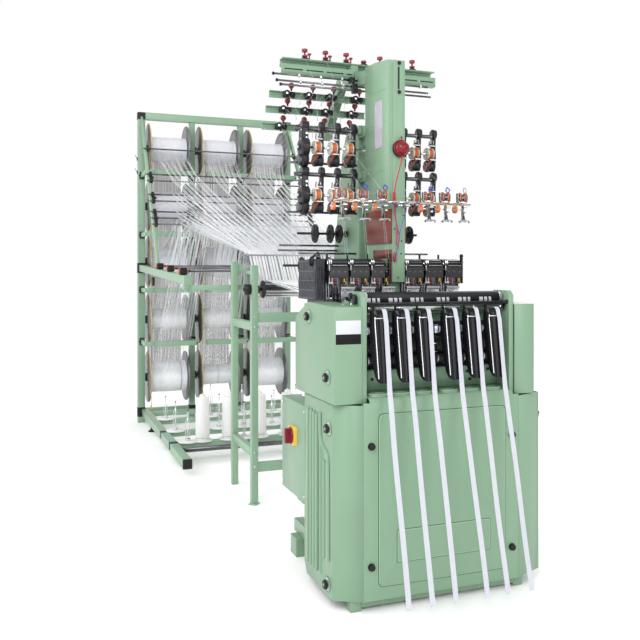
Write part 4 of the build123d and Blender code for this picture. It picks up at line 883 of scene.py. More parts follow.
# ============================ heads =========================================
S = Soup()
for g, (g0, g1) in enumerate(GROUPS):
    w = (g1 - g0) / 3
    for k in range(3):
        a, b = g0 + w * k, g0 + w * (k + 1) - (20 if (g == 0 and k == 2) else 0)
        # head block: sloped housing in front, hood on top
        S.prism([(a + 5, 300, 1062), (a + 5, 300, 1098), (a + 5, 316, 1126), (a + 5, 336, 1130), (a + 5, 336, 1062)],
                (b - a - 10, 0, 0), "black_cast")
        S.box(a + 9, b - 9, 308, 336, 1040, 1064, "black_cast", 2.5)
        S.box(a + 4, b - 4, 338, 372, 1124.4, 1131, "black", 1.5)
        for dx in (0.22, 0.5, 0.78):
            S.screw((a + w * dx, 299.6, 1084), (0, -1, 0), 2.2, "dark_rod", hexa=True)
        # bright ring clamps between the blocks, and rods down to the frames
        S.torus((a + 3, 304, 1118), (1, 0, 0), 9.5, 2.2, "chrome", n=24, m=6)
        S.torus((a + 10, 304, 1118), (1, 0, 0), 9.5, 2.2, "chrome", n=24, m=6)
        S.box(a + 2, a + 6, 296, 312, 1088, 1108, "steel", 1.0)
        S.box(a + 16, b - 12, 297, 300.6, 1106, 1108, "steel", 0.4)
        for dx in (6, 15, w * 0.36, w * 0.52, w * 0.70, w * 0.86):
            rr = 1.6 if dx > 16 else 2.6
            S.cyl((a + dx, 335, 988), (a + dx, 335, 1044), rr * 0.8, "steel" if dx < 16 else "dark_rod", n=10)
            S.cyl((a + dx, 303, 1040), (a + dx, 303, 1068), rr * 0.8, "steel" if dx < 16 else "dark_rod", n=10)
        for dx in (0.20, 0.44, 0.62, 0.80):
            S.box(a + w * dx - 4, a + w * dx + 4, 337, 341, 968, 1042, "dark_rod", 0.8)
        # small red eye, yellow eyelet and tell-tale
        S.box(a + w * 0.33 - 13, a + w * 0.33 + 13, 302, 309, 1036, 1063, "dark_rod", 1.2)
        S.cyl((a + w * 0.33, 302, 1053), (a + w * 0.33, 297, 1053), 4.2, "red", n=14, ch=0.8)
        S.cyl((a + w * 0.33, 302, 1043), (a + w * 0.33, 297, 1043), 4.2, "red", n=14, ch=0.8)
        S.box(a + w * 0.33 - 6, a + w * 0.33 + 6, 300, 302.4, 1037, 1060, "black", 0.8)
        S.box(a + w * 0.74, a + w * 0.74 + 3.2, 298, 309, 1047, 1060, "yellow", 0.8)
        S.tube(smooth_path([(a + w * 0.76, 299, 1049), (a + w * 0.76 + 4, 296, 1043), (a + w * 0.76, 298, 1037)], 4), 1.1,
               "yellow", n=6)
        S.box(a + w * 0.13 - 7, a + w * 0.13 + 8, 296, 309, 1042, 1047, "ivory", 0.8)
        # levers over the hoods
        S.box(a + w * 0.5 - 3, a + w * 0.5 + 3, 372, 474, 1126, 1132, "dark_rod", 0.8)
        S.cyl((a + w * 0.5, 420, 1129), (a + w * 0.5, 420, 1150), 4, "black", n=12, ch=1)
    # long bright rods through the group
    for y, z, r_ in ((303, 1118, 2.0), (303, 1094, 1.6), (336, 1004, 3.0), (336, 985, 3.0)):
        S.cyl((g0 + 1, y, z), (g1 - 1, y, z), r_, "dark_rod", n=10)
    S.box(g0 + 1, g1 - 1, 337.5, 342, 952, 970, "black_cast", 1.0)
    # right-hand end lever
    S.box(g1 - 8, g1 - 2, 300, 316, 1040, 1142, "black_cast", 1.5)
    S.cyl((g1 - 9, 308, 1142), (g1 - 1, 308, 1142), 8, "black_cast", n=16, ch=1)
S.make("head_housings", slot="black_steel")

# dense harness on the left of the left-hand group only: rows of fine cranked wires
S = Soup()
for g0, g1 in GROUPS:
    if g0 > -200:
        continue
    for col in range(6):
        x = g0 - 8.0 - col * 6.4
        for j in range(30):
            y = 322 + j * 6.0
            amp = 3.4 * math.sin(j * 1.9 + col * 1.3)
            S.tube([(x - abs(amp) * 0.5, y, 985), (x, y + 1, 1008), (x - 1.6 + amp * 0.5, y + amp * 0.5, 1044),
                    (x + 0.6, y, 1085), (x + 1, y, 1128)], 1.7, "harness", n=5)
    for zz in (990, 1018, 1052, 1086, 1122):
        S.box(g0 - 43, g0 - 5, 326, 504, zz - 2.2, zz + 2.2, "harness", 0.8)
    # near-black block of painted shade filling the gaps between the wires
    S.box(g0 - 36, g0 - 6, 334, 496, 984, 1126, "dark", 1.0)
    S.box(g0 - 4.5, g0 - 0.5, 328, 508, 964, 1131, "black_cast", 1.0)
    for k in range(5):
        S.tube(smooth_path([(g0 - 30 + 4 * k, 330, 1126), (g0 - 44 + 3 * k, 320, 1142 + 3 * k), (g0 - 60 + 4 * k, 330, 1128),
                            (g0 - 52 + 3 * k, 344, 1104)], 6), 1.5, "black", n=6)
S.make("harness_packs", slot="black_steel")

# fine heald wires in each frame
for body, first in (("healds_odd", 0), ("healds_even", 1)):
    S = Soup()
    for k in range(5):
        y = 371 + 10.5 * (2 * k + first) + 2
        for g0, g1 in GROUPS:
            x = g0 + 15
            while x < g1 - 15:
                S.tube([(x, y, 996), (x, y, 1029), (x, y, 1037), (x, y, 1068)], 0.55, "chrome", n=3)
                S.box(x - 0.9, x + 0.9, y - 0.6, y + 0.6, 1029, 1036, "steel", 0.2)
                x += 6.4
    S.make(f"heald_wires_{'odd' if first == 0 else 'even'}", body=body)

# reed dents in the batten
S = Soup()
for cx in CHUTE_X:
    for k in range(24):
        x = cx + 11.5 + k * 2.0
        S.box(x - 0.35, x + 0.35, 279.2, 281.8, 966, 1026, "chrome", 0.1)
    S.box(cx + 8, cx + 62, 277.5, 281.8, 1024, 1031, "steel", 0.8)
S.make("reed_dents", body="batten")

# ============================ tower =========================================
S = Soup()
# bare notice plate on the left face
S.box(-59.6, -58.1, 352, 418, 1545, 1720, "label", 0.5)
for y in (357, 413):
    for z in (1551, 1714):
        S.cyl((-60.4, y, z), (-59.4, y, z), 2.4, "chrome", n=12, ch=0.3)
# zig-zag perforation down the bevel, its holes drawn as near-black discs of painted shade
e1 = Vector((25, -7, 0)).normalized()
nb = Vector((-7, -25, 0)).normalized()
for k in range(128):
    z = 1338 + k * 3.95
    off = (-3.4, 3.4)[k % 2]
    p = Vector((-44, 303.1, z)) + e1 * off + nb * 0.05
    S.lathe(p, nb, [(0, 1.5), (0.25, 1.45)], 6, "dark")
# slot's bolts, and the slot itself as a near-black strip of painted shade
for z in (1739, 1845):
    S.cyl((-16, 299.9, z), (-16, 297.5, z), 9.0, "green", n=24, ch=0.8)
    S.screw((-16, 297.5, z), (0, -1, 0), 5.5, "black_cast", h=5, hexa=True)
S.box(-20.4, -13.6, 301.2, 304.8, 1752, 1830, "dark", 0.4)
# screws on faces, weld beads across the left face
for y, z in ((330, 1835), (498, 1845), (498, 1700), (330, 1520), (498, 1520), (498, 1345), (340, 1345)):
    S.cyl((-58.9, y, z), (-57.9, y, z), 3.6, "green_light", n=14, ch=0.3)
for z in (1640, 1457, 1755):
    S.tube([(-58.4, 330, z), (-58.4, 506, z)], 1.1, "green_light", n=6)
for x, z in ((-30, 1330), (4, 1290), (-34, 1240), (-6, 1196), (-34, 1150), (-8, 1150), (-20, 1062)):
    S.cyl((x, 300.0, z), (x, 298.4, z), 3.0, "black", n=12, ch=0.4)
S.cyl((-37, 300, 1136), (-37, 294, 1136), 5, "red", n=14, ch=0.8)
# collar where the carrier rods reach the tower
for zr in (1632, 1457):
    for x0, x1 in ((-76, -58.6), (8.6, 24)):
        S.cyl((x0, 550, zr), (x1, 550, zr), 15, "green_cast", n=24, ch=2.0)
    S.box(-58.4, -52, 512, 566, zr - 20, zr + 20, "green_cast", 3.0)
    S.box(2, 8.4, 512, 566, zr - 20, zr + 20, "green_cast", 3.0)
# louvre seam and cap
S.box(-58, 9, 299, 302, 1322, 1327, "green", 0.8)
S.make("tower_fittings", slot="green_paint")

# screws of the laminate panels
S = Soup()
for y, z in ((308, 1194), (308, 1307), (518, 1194), (518, 1307), (308, 1140), (450, 1140), (308, 1160), (450, 1160)):
    S.cyl((-48.6, y, z), (-47.3, y, z), 3.2, "black", n=14, ch=0.4)
for y, z in ((308, 1194), (308, 1307), (518, 1194), (518, 1307)):
    S.cyl((12.6, y, z), (13.8, y, z), 3.2, "black", n=14, ch=0.4)
S.box(-46.6, -43.3, 302, 335, 1048, 1128, "laminate", 0.8)
S.make("panel_screws", slot="black_plastic")

# black felt edge of the cast column, behind the column
S = Soup()
S.tube(smooth_path([(-5, 578, 1320), (-5, 800, 1318), (-5, 822, 1236), (-5, 838, 1180), (-5, 836, 1120)], 14), 1.8,
       "black", n=6)
S.make("column_seal", slot="black_steel")

# lamp: bezel, ribs of the lens, its neck
S = Soup()
S.torus((-13, 284.5, 1532), (0, 1, 0), 28.5, 2.6, "lamp", n=40, m=8)
S.torus((-13, 291, 1532), (0, 1, 0), 30.2, 1.6, "black", n=40, m=6)
for k in range(5):
    rr = 24.5 - k * 4.6
    yy = 284 - math.sqrt(max(0.0, 27.0 ** 2 - rr ** 2))
    S.torus((-13, yy, 1532), (0, 1, 0), rr, 0.9, "lamp", n=36, m=6)
S.cyl((-13, 281, 1505), (-13, 281, 1498), 3.6, "red", n=14, ch=0.6)
S.make("lamp_ring", slot="red_gloss")

# plug at the middle of the lead: two sleeves, and the twisted pair beside it
S = Soup()
for dx, dy in ((-3.2, -1.5), (3.0, 1.0)):
    S.lathe((-44 + dx, 283 + dy, 1372), (0, 0, -1), [(0, 1.5), (4, 3.4), (26, 4.2), (30, 3.2), (44, 2.0)], 12, "red_lead")
pair = smooth_path([(-40, 284, 1330), (-38, 285, 1300), (-36, 285, 1270), (-28, 286, 1235), (-22, 286, 1210),
                    (-26, 287, 1180), (-34, 288, 1150), (-37, 292, 1134)], 7)
for ph, mat in ((0, "red_lead"), (math.pi, "blue")):
    q = [p + Vector((math.cos(i * 0.9 + ph) * 2.3, 0.6 * math.sin(i * 0.9 + ph), 0)) for i, p in enumerate(pair)]
    S.tube(q, 1.35, mat, n=6)
S.lathe((-37, 294, 1150), (0, 0, -1), [(0, 4.0), (3, 5.6), (26, 5.6), (30, 4.0)], 14, "red")
S.tube(smooth_path([(-2, 268, 1326), (0, 276, 1300), (-8, 284, 1268), (-16, 286, 1238), (-22, 287, 1214)], 8), 1.4,
       "blue", n=6)
S.make("sensor_wires", slot="red_lead")

# ============================ tension bars ==================================
S = Soup()
# slots in the lower channel's face, drawn as near-black strips of painted shade
for x0, x1 in ((-346, -268), (-254, -182), (-168, -96), (-82, -56), (-4, 66), (82, 150), (166, 236), (252, 312)):
    S.box(x0, x1, 639.2, 640.4, 1877, 1882, "dark", 0.3)
S.box(-334, 332, 707.6, 712, 1925, 1930.6, "green_light", 0.8)
# shallow grooves on the single bars, drawn as darker green strips of painted shade, and screws near their ends
for by, bz in BARS:
    for x0, x1 in ((-345, -215), (-130, -30), (40, 88)):
        S.box(x0, x1, by - 3.7, by - 2.9, bz - 1.5, bz + 1.5, "green_cast", 0.2)
    for x in (-340, 82):
        S.screw((x, by - 3.2, bz - 12), (0, -1, 0), 2.6, "chrome")
    # hooks under the bar
    for x in (-222, -126, -20):
        S.tube(smooth_path([(x, by - 4, bz - 18), (x, by - 9, bz - 27), (x + 1, by - 5, bz - 35), (x + 2, by + 1, bz - 31)],
                           4), 1.1, "chrome", n=5)
    # tensioner trimmings
    for x in KNOB_X:
        S.cyl((x - 14, by - 37, bz + 2), (x - 14, by - 33.6, bz + 2), 5.0, "chrome", n=14, ch=0.8)
        S.torus((x - 12, by - 30, bz + 2), (0, 1, 0), 11.5, 1.9, "black", n=24, m=6)
        S.torus((x - 12, by - 24, bz + 2), (0, 1, 0), 12.2, 1.6, "black_cast", n=24, m=6)
        S.torus((x + 14, by - 26, bz - 2), (0, 1, 0), 9.0, 1.8, "black_cast", n=22, m=6)
        S.cyl((x + 2, by - 26, bz - 16), (x + 2, by - 20, bz - 16), 4.6, "ivory", n=14, ch=0.8)
        S.box(x - 6, x + 4, by - 27, by - 16.2, bz - 20, bz + 10, "black_cast", 1.5)
        # little knurl under the ball
        S.cyl((x + 8, by - 24, bz + 22), (x + 8, by - 24, bz + 28), 6.0, "red", n=12, ch=1.0)
# upper bar: thread eyes and spring washers
for x in (-242, -153, -62, 16, 90, 240):
    S.torus((x, 694, 1937), (0, 0, 1), 15.5, 2.2, "black", n=26, m=6)
    S.torus((x, 694, 1942), (0, 0, 1), 10.0, 1.6, "black_cast", n=26, m=6)
    S.lathe((x, 694, 1946), (0, 0, 1), [(0, 5), (1.2, 11.8), (4, 12.4), (6.5, 11.5), (7.4, 5.0)], 20, "red")
    if x == 16:
        continue
    S.lathe((x, 694, 1965.5), (0, 0, 1), [(0, 5), (1.5, 12.0), (7, 13.0), (11, 11.5), (12.2, 8)], 20, "red")
    if x < 0:
        S.cyl((x + 16, 684, 1935.4), (x + 16, 684, 1956), 3.4, "red", n=12, ch=0.6)
        S.lathe((x + 16, 684, 1952), (0, 0, 1), [(0, 3.6), (1.5, 8), (6, 8.6), (8, 6)], 16, "red")
S.make("tension_trim", slot="black_plastic")

# clamps that hold the thin rods near the tower, small eyes on them
S = Soup()
for x in (-300, -210, -120):
    for y, z in ((610, 1848), (596, 1820)):
        S.cyl((x, y, z), (x + 8, y, z), 8.5, "chrome", n=18, ch=1.0)
        S.cyl((x + 4, y, z - 8), (x + 4, y, z - 20), 1.4, "chrome", n=8)
for x, y, z in ((-84, 610, 1848), (-78, 596, 1820), (-92, 560, 1796)):
    S.box(x, x + 22, y - 12, y + 12, z - 12, z + 12, "black_cast", 2.5)
for xe, y, z in ((-404, 610, 1848), (-394, 596, 1820), (-390, 560, 1796)):
    S.cyl((xe, y, z), (xe + 7, y, z), 6.5, "black", n=16, ch=1.0)
for x in (40, 140, 230):
    S.cyl((x, 610, 1848), (x + 8, 610, 1848), 8.5, "chrome", n=18, ch=1.0)
S.box(26, 50, 590, 622, 1720, 1738, "dark_rod", 2.0)
S.box(10, 30, 560, 586, 1712, 1732, "green_cast", 2.0)
S.cyl((30, 600, 1722), (44, 600, 1722), 12, "dark_rod", n=18, ch=1.5)
S.make("rod_clamps", slot="bright_steel")

# ============================ feeders =======================================
S = Soup()
for zf, zr in ((1561.0, 1632.0), (1378.0, 1457.0)):
    for x in FEED_X:
        y0 = 550.0
        # white disc with hub on the left of each wheel, orange belt on it
        S.lathe((x - 12.2, y0, zf), (-1, 0, 0), [(0, 25), (1.2, 25.6), (3.2, 24.6), (3.6, 12), (4.8, 10), (5.2, 4)], 30,
                "ivory")
        for k in range(8):
            a = 2 * math.pi * k / 8
            S.box(x - 17.2, x - 15.6, y0 + 16 * math.cos(a) - 2, y0 + 16 * math.cos(a) + 2,
                  zf + 16 * math.sin(a) - 2, zf + 16 * math.sin(a) + 2, "white", 0.4)
        rings_ = []
        for k in range(5):
            S.torus((x - 7 + k * 3.5, y0, zf), (1, 0, 0), 22.2, 1.3, "orange", n=30, m=5)
        # guide finger, chrome roller above and below, red clip
        S.cyl((x - 14, y0 - 24, zf + 30), (x + 14, y0 - 24, zf + 30), 2.4, "chrome", n=10)
        S.cyl((x - 12, y0 - 27, zf - 26), (x + 15, y0 - 27, zf - 26), 3.2, "chrome", n=12, ch=0.5)
        S.tube([(x - 14, y0 - 24, zf + 28), (x - 14, y0 - 27, zf + 40), (x - 12, y0 - 24, zf + 48)], 2.2, "red", n=8)
        S.box(x - 13, x - 7, y0 - 30, y0 - 24, zf - 34, zf - 25, "red", 1.0)
        # brown belt running down behind, to the left
        p0, p1 = Vector((x + 3, y0 - 22, zf - 22)), Vector((x - 26, y0 - 6, zf - 62))
        d = (p1 - p0).normalized()
        side = d.cross(Vector((0, 1, 0))).normalized()
        S.obox((p0 + p1) / 2, d, side, d.cross(side), (p1 - p0).length / 2, 5.5, 1.0, "belt", 0.4)
        # bracket trimmings: lobed head over the rod, gear disc at the foot, levers
        xb = x + 19
        for a in (-0.9, 0.0, 0.9):
            S.cyl((xb - 5, y0 + 15 * math.sin(a), zr + 12 + 12 * math.cos(a)),
                  (xb + 5, y0 + 15 * math.sin(a), zr + 12 + 12 * math.cos(a)), 6.5, "black_cast", n=16, ch=1.4)
        S.cyl((xb - 7, y0, zr), (xb + 7, y0, zr), 13.5, "black_cast", n=22, ch=1.6)
        S.lathe((x + 3, y0 + 12, zf - 48), (-1, 0, 0), [(0, 20), (3, 24), (8, 24.5), (14, 22), (15, 8), (18, 6)], 26,
                "black_cast")
        for k in range(3):
            a = 2.1 * k + 0.5
            S.cyl((x - 12.6, y0 + 12 + 15 * math.cos(a), zf - 48 + 15 * math.sin(a)),
                  (x - 10.5, y0 + 12 + 15 * math.cos(a), zf - 48 + 15 * math.sin(a)), 2.4, "chrome", n=10)
        S.tube(smooth_path([(xb - 8, y0 - 4, zr - 14), (xb - 16, y0 - 16, zf + 54), (xb - 24, y0 - 22, zf + 40)], 6), 1.5,
               "chrome", n=6)
        S.tube(smooth_path([(xb - 9, y0 - 2, zr - 18), (xb - 12, y0 - 22, zf + 50), (xb - 13, y0 - 26, zf + 34)], 6), 1.3,
               "chrome", n=6)
        S.box(xb - 12, xb - 4.2, y0 - 18, y0 + 12, zf + 30, zf + 46, "black_cast", 2.0)
        S.screw((xb - 4.3, y0 - 16, zf + 8), (-1, 0, 0), 3.0, "chrome", hexa=True)
        S.screw((xb - 4.3, y0 + 18, zf - 24), (-1, 0, 0), 2.6, "chrome", hexa=True)
    # drive end on the left: gearbox with bosses
    x = -294.0
    S.box(x - 16, x + 12, 534, 574, zf + 22, zf + 74, "black_cast", 4.0)
    S.lathe((x + 14, 552, zf), (-1, 0, 0), [(0, 34), (4, 38), (26, 38), (32, 33), (34, 14), (40, 12)], 30, "black_cast")
    S.lathe((x + 14, 562, zf - 46), (-1, 0, 0), [(0, 28), (4, 31), (20, 31), (26, 26), (27, 10)], 28, "black_cast")
    for y, z in ((540, zf + 64), (568, zf + 62), (542, zf + 30), (566, zf + 28)):
        S.screw((x - 16, y, z), (-1, 0, 0), 3.0, "chrome", hexa=True)
    S.cyl((x - 25, 552, zf), (x - 34, 552, zf), 5, "chrome", n=14, ch=1.0)
    S.screw((x - 24, 575, zf - 30), (-1, 0, 0), 3.2, "chrome", hexa=True)
    S.cyl((x + 2, 533.8, zf + 50), (x + 2, 528, zf + 50), 4.5, "chrome", n=14, ch=0.6)
    S.cyl((x + 2, 533.8, zf + 34), (x + 2, 530, zf + 34), 3.2, "chrome", n=14, ch=0.6)
S.make("feeder_trim", slot="black_steel")

# lobed separator discs and collars on their rods
S = Soup()
for xs, y0, z0, R in (((-196, -130, -92, 92, 160, 228), 700, 1238, 38), ((-219, -147, -100), 800, 1109, 36)):
    for x in xs:
        for k in range(6):
            a = 2 * math.pi * k / 6 + 0.3
            S.cyl((x - 5, y0 + (R - 8) * math.cos(a), z0 + (R - 8) * math.sin(a)),
                  (x + 5, y0 + (R - 8) * math.cos(a), z0 + (R - 8) * math.sin(a)), 8.0, "black", n=16, ch=1.2)
        S.lathe((x - 14, y0, z0), (1, 0, 0), [(0, 8), (2, 14), (10, 20), (14, 22), (18, 20), (26, 14), (28, 8)], 22, "black")
S.make("separator_lobes", slot="black_plastic")

# ============================ sensors =======================================
S = Soup()
for k, x in enumerate(SENSE_X):
    y0, z0 = 250.0, 1332.0
    # pairs of discs with pale faces and brown rims
    for dx in (-10, 12):
        S.lathe((x + dx - 4, y0 - 4, z0 + 24), (1, 0, 0), [(0, 8), (0.5, 15.5), (2, 16.6), (6, 16.6), (7.5, 15.5), (8, 8)], 24,
                "steel")
        S.torus((x + dx, y0 - 4, z0 + 24), (1, 0, 0), 15.6, 3.2, "belt", n=26, m=6)
        S.torus((x + dx - 3, y0 - 4, z0 + 24), (1, 0, 0), 15.0, 2.0, "orange", n=26, m=5)
        S.cyl((x + dx - 6, y0 - 4, z0 + 24), (x + dx + 6, y0 - 4, z0 + 24), 5.2, "steel", n=14, ch=0.8)
    S.cyl((x - 20, y0 - 4, z0 + 24), (x + 22, y0 - 4, z0 + 24), 2.0, "chrome", n=8)
    S.box(x - 20, x - 16, y0 - 10, y0 + 4, z0 + 8, z0 + 40, "steel", 0.8)
    S.box(x + 19, x + 22, y0 - 10, y0 + 4, z0 + 8, z0 + 36, "steel", 0.8)
    # orange disc below, out on its pin, with chrome cap
    S.lathe((x - 37, y0 - 8, z0 - 20), (1, 0, 0), [(0, 6), (1, 14.2), (5, 15), (9, 14.5), (11, 7)], 22, "orange")
    S.cyl((x - 42, y0 - 8, z0 - 20), (x - 22, y0 - 8, z0 - 20), 4.6, "chrome", n=12, ch=0.6)
    for kk in range(4):
        a = math.pi / 2 * kk + 0.4
        S.cyl((x - 38.4, y0 - 8 + 9 * math.cos(a), z0 - 20 + 9 * math.sin(a)),
              (x - 36.6, y0 - 8 + 9 * math.cos(a), z0 - 20 + 9 * math.sin(a)), 1.9, "white", n=8)
    # small chrome bits beside, T foot
    S.cyl((x + 2, y0 - 14, z0 - 14), (x + 18, y0 - 14, z0 - 14), 3.6, "chrome", n=12, ch=0.6)
    S.cyl((x + 10, y0 - 6, z0 - 30), (x + 20, y0 - 6, z0 - 30), 4.0, "chrome", n=12, ch=0.6)
    S.tube([(x + 4, y0, z0 - 8), (x + 7, y0 - 3, z0 - 34), (x + 12, y0 - 6, z0 - 60)], 2.6, "dark_rod", n=8)
    S.cyl((x - 8, y0 - 6, z0 - 61), (x + 30, y0 - 6, z0 - 61), 2.6, "steel", n=10, ch=0.5)
    S.cyl((x - 10, y0 - 6, z0 - 65), (x - 7, y0 - 6, z0 - 65), 4.4, "steel", n=12, ch=0.5)
    S.cyl((x + 28, y0 - 6, z0 - 65), (x + 31, y0 - 6, z0 - 65), 4.4, "steel", n=12, ch=0.5)
    # blue loop of wire
    if k != 0:
        c = Vector((x + 14, y0 - 2, z0 + 50))
        mat = "blue" if k != 5 else "dark_rod"
        for q in range(3 if k != 5 else 1):
            loop = [c + Vector(((6 + q) * math.cos(t) * (1.0 + 0.15 * q), 3 * math.sin(t + q), (11 - 2 * q) * math.sin(t)))
                    for t in [2 * math.pi * j / 14 for j in range(14)]]
            S.tube(loop, 1.3, mat, n=5, closed=True)
        S.tube([c + Vector((0, 0, -10)), c + Vector((-6, 4, -20)), c + Vector((-10, 6, -36)), c + Vector((-12, 6, -46))],
               1.3, mat, n=5)
# braided wire run along the bar
run = [(x, 243 + 1.5 * math.sin(x / 9.0), 1331 + 1.5 * math.cos(x / 9.0)) for x in range(-286, 250, 7)]
S.tube(run, 1.3, "brass", n=5)
run = [(x, 244 + 3.6 * math.sin(x / 7.0 + 2), 1330 + 3.6 * math.cos(x / 7.0 + 2)) for x in range(-150, 60, 5)]
S.tube(run, 1.2, "blue", n=5)
run = [(x, 244 + 3.6 * math.sin(x / 7.0), 1330 + 3.6 * math.cos(x / 7.0)) for x in range(-150, 60, 5)]
S.tube(run, 1.2, "black", n=5)
S.make("sensor_trim", slot="white_ceramic")

# ============================ control box ===================================
S = Soup()
S.lathe((-386.6, 437.5, 487.5), (-1, 0, 0), [(0, 30), (1.5, 31.5), (3.5, 30.5), (4.2, 24)], 36, "red")
S.make("switch_collar", body="main_switch", slot="red_gloss")
S = Soup()
for y, z in ((411, 461), (464, 461), (411, 514), (464, 514)):
    S.cyl((-387.4, y, z), (-385.8, y, z), 2.6, "chrome", n=12, ch=0.3)
for y in (326, 571):
    S.cyl((-375.4, y, 291), (-372.8, y, 291), 5.0, "chrome", n=16, ch=0.6)
    S.cyl((-375.4, y, 591), (-372.8, y, 591), 5.0, "chrome", n=16, ch=0.6)
S.make("door_screws", body="box_door", slot="bright_steel")

# ============================ creel fittings ================================
S = Soup()
H = 25
# black corner connectors round the posts' tops and at the rails
for x in (POST_X[0], POST_X[3]):
    S.box(x - H - 2.5, x + H + 2.5, CREEL_Y - H - 2.5, CREEL_Y + H + 2.5, 2168, 2219.5, "black", 3.0)
    for z in (1765, 1340, 950, 580):
        S.box(x - 16, x + 16, CREEL_Y - H - 16, CREEL_Y - H - 0.5, z - 24, z + 24, "black", 3.0)
        S.cyl((x - 20, CREEL_Y - H - 8, z), (x + 20, CREEL_Y - H - 8, z), 6.0, "black", n=14, ch=1.2)
    S.box(x - H - 2, x + H + 2, CREEL_Y - H - 2, CREEL_Y + H + 2, 1068, 1142, "black", 3.0)
    S.box(x - H - 2, x + H + 2, CREEL_Y - H - 2, CREEL_Y + H + 2, 40, 110, "black", 3.0)
    # end caps and front connectors of the middle arms
    S.box(x - 20.5, x + 20.5, 1648, 1690, 1010, 1062, "green_light", 3.0)
    S.cyl((x, 1660, 988), (x, 1660, 978), 13, "green_light", n=20, ch=1.5)
    # orange and black clamps of the arms' rods
    for y in (2546, 2165, 1777):
        zc = arm_top(y)
        S.box(x - 19, x + 19, y - 22, y + 20, zc + 1, zc + 37, "black", 5.0)
        S.lathe((x - 19.5, y, zc + 20), (-1, 0, 0), [(0, 14), (3, 14.5), (5, 11)], 20, "orange")
        S.lathe((x + 19.5, y, zc + 20), (1, 0, 0), [(0, 14), (3, 14.5), (5, 11)], 20, "orange")
    # strut's foot bracket
    S.box(x - 11, x + 11, 2572, 2656, arm_top(2614) + 0.6, arm_top(2614) + 16, "black", 3.0)
    # long clamp plates of the thread rods along the strut's front
    for za, zb in ((1720, 1750), (1676, 1706), (1574, 1604), (1530, 1560), (1456, 1484), (1414, 1442), (1372, 1400)):
        ya = 3384.6 - (2190.0 - (za + zb) / 2) * 0.73817
        d = Vector((0, 0.73817, 1)).normalized()
        S.obox((x + (12 if x < 0 else -12), ya - 8, (za + zb) / 2), (1, 0, 0), d, d.cross(Vector((1, 0, 0))), 9, 19, 9, "black", 2.0)
        S.cyl((x + (21.5 if x < 0 else -21.5), ya - 8, (za + zb) / 2), (x + (24.5 if x < 0 else -24.5), ya - 8, (za + zb) / 2),
              4.2, "red", n=14, ch=0.6)
for x in POST_X[1:3]:
    for z in (1765, 1340, 950, 580, 80):
        S.box(x - 24, x + 24, CREEL_Y - 22.5, CREEL_Y + 22.5, z - 24, z + 24, "black", 3.0)
    S.cyl((x, 3384, 1090), (x, 3372, 1090), 7, "black", n=14, ch=1.0)
for i in range(3):
    xl, xr = POST_X[i] + 62, POST_X[i + 1] - 6
    for z in (1765, 1340, 950, 580):
        S.box(xl - 2, xl + 6, 3148, 3188, z - 19, z + 19, "green_light", 2.0)
        S.cyl((xr - 7, 3149, z), (xr - 7, 3143, z), 5, "black", n=14, ch=1.0)
# star wheel on the left inner side, star knob on the floor frame, short levers
S.lathe((POST_X[0] + 40, 3166, 1012), (1, 0, 0), [(0, 10), (3, 30), (9, 32), (16, 30), (20, 12)], 22, "black")
for x in (POST_X[0], POST_X[3]):
    for z in (1930, 1567, 1428, 1713):
        y = 3384.6 - (2190.0 - z) * 0.73817
        S.cyl((x + (9 if x < 0 else -9), y, z), (x + (34 if x < 0 else -34), y, z), 9, "black", n=16, ch=1.5)
S.box(POST_X[0] - 30, POST_X[0] - 25.5, 3396, 3424, 1780, 1800, "black", 1.5)
S.box(POST_X[0] - 30, POST_X[0] - 25.5, 3396, 3424, 1875, 1895, "black", 1.5)
# feet caps and floor tube's end rings
for x in (POST_X[0] + 26, POST_X[3] - 26):
    S.box(x - 25, x + 25, 1786, 1800, 48, 100, "black", 3.0)
    S.lathe((x, 3050, 0.4), (0, 0, 1), [(0, 26), (5, 26), (10, 16), (16, 12)], 24, "black")
    S.box(x - 25, x + 25, 2196, 2234, 60, 101.5, "black", 2.5)
    S.box(x - 25, x + 25, 2521, 2559, 60, 101.5, "black", 2.5)
S.cyl((POST_X[0] + 49, 2105, 76), (POST_X[0] + 58, 2105, 76), 17, "black", n=20, ch=1.5)
S.cyl((POST_X[3] - 58, 2105, 76), (POST_X[3] - 49, 2105, 76), 17, "black", n=20, ch=1.5)
S.make("creel_fittings", slot="black_plastic")

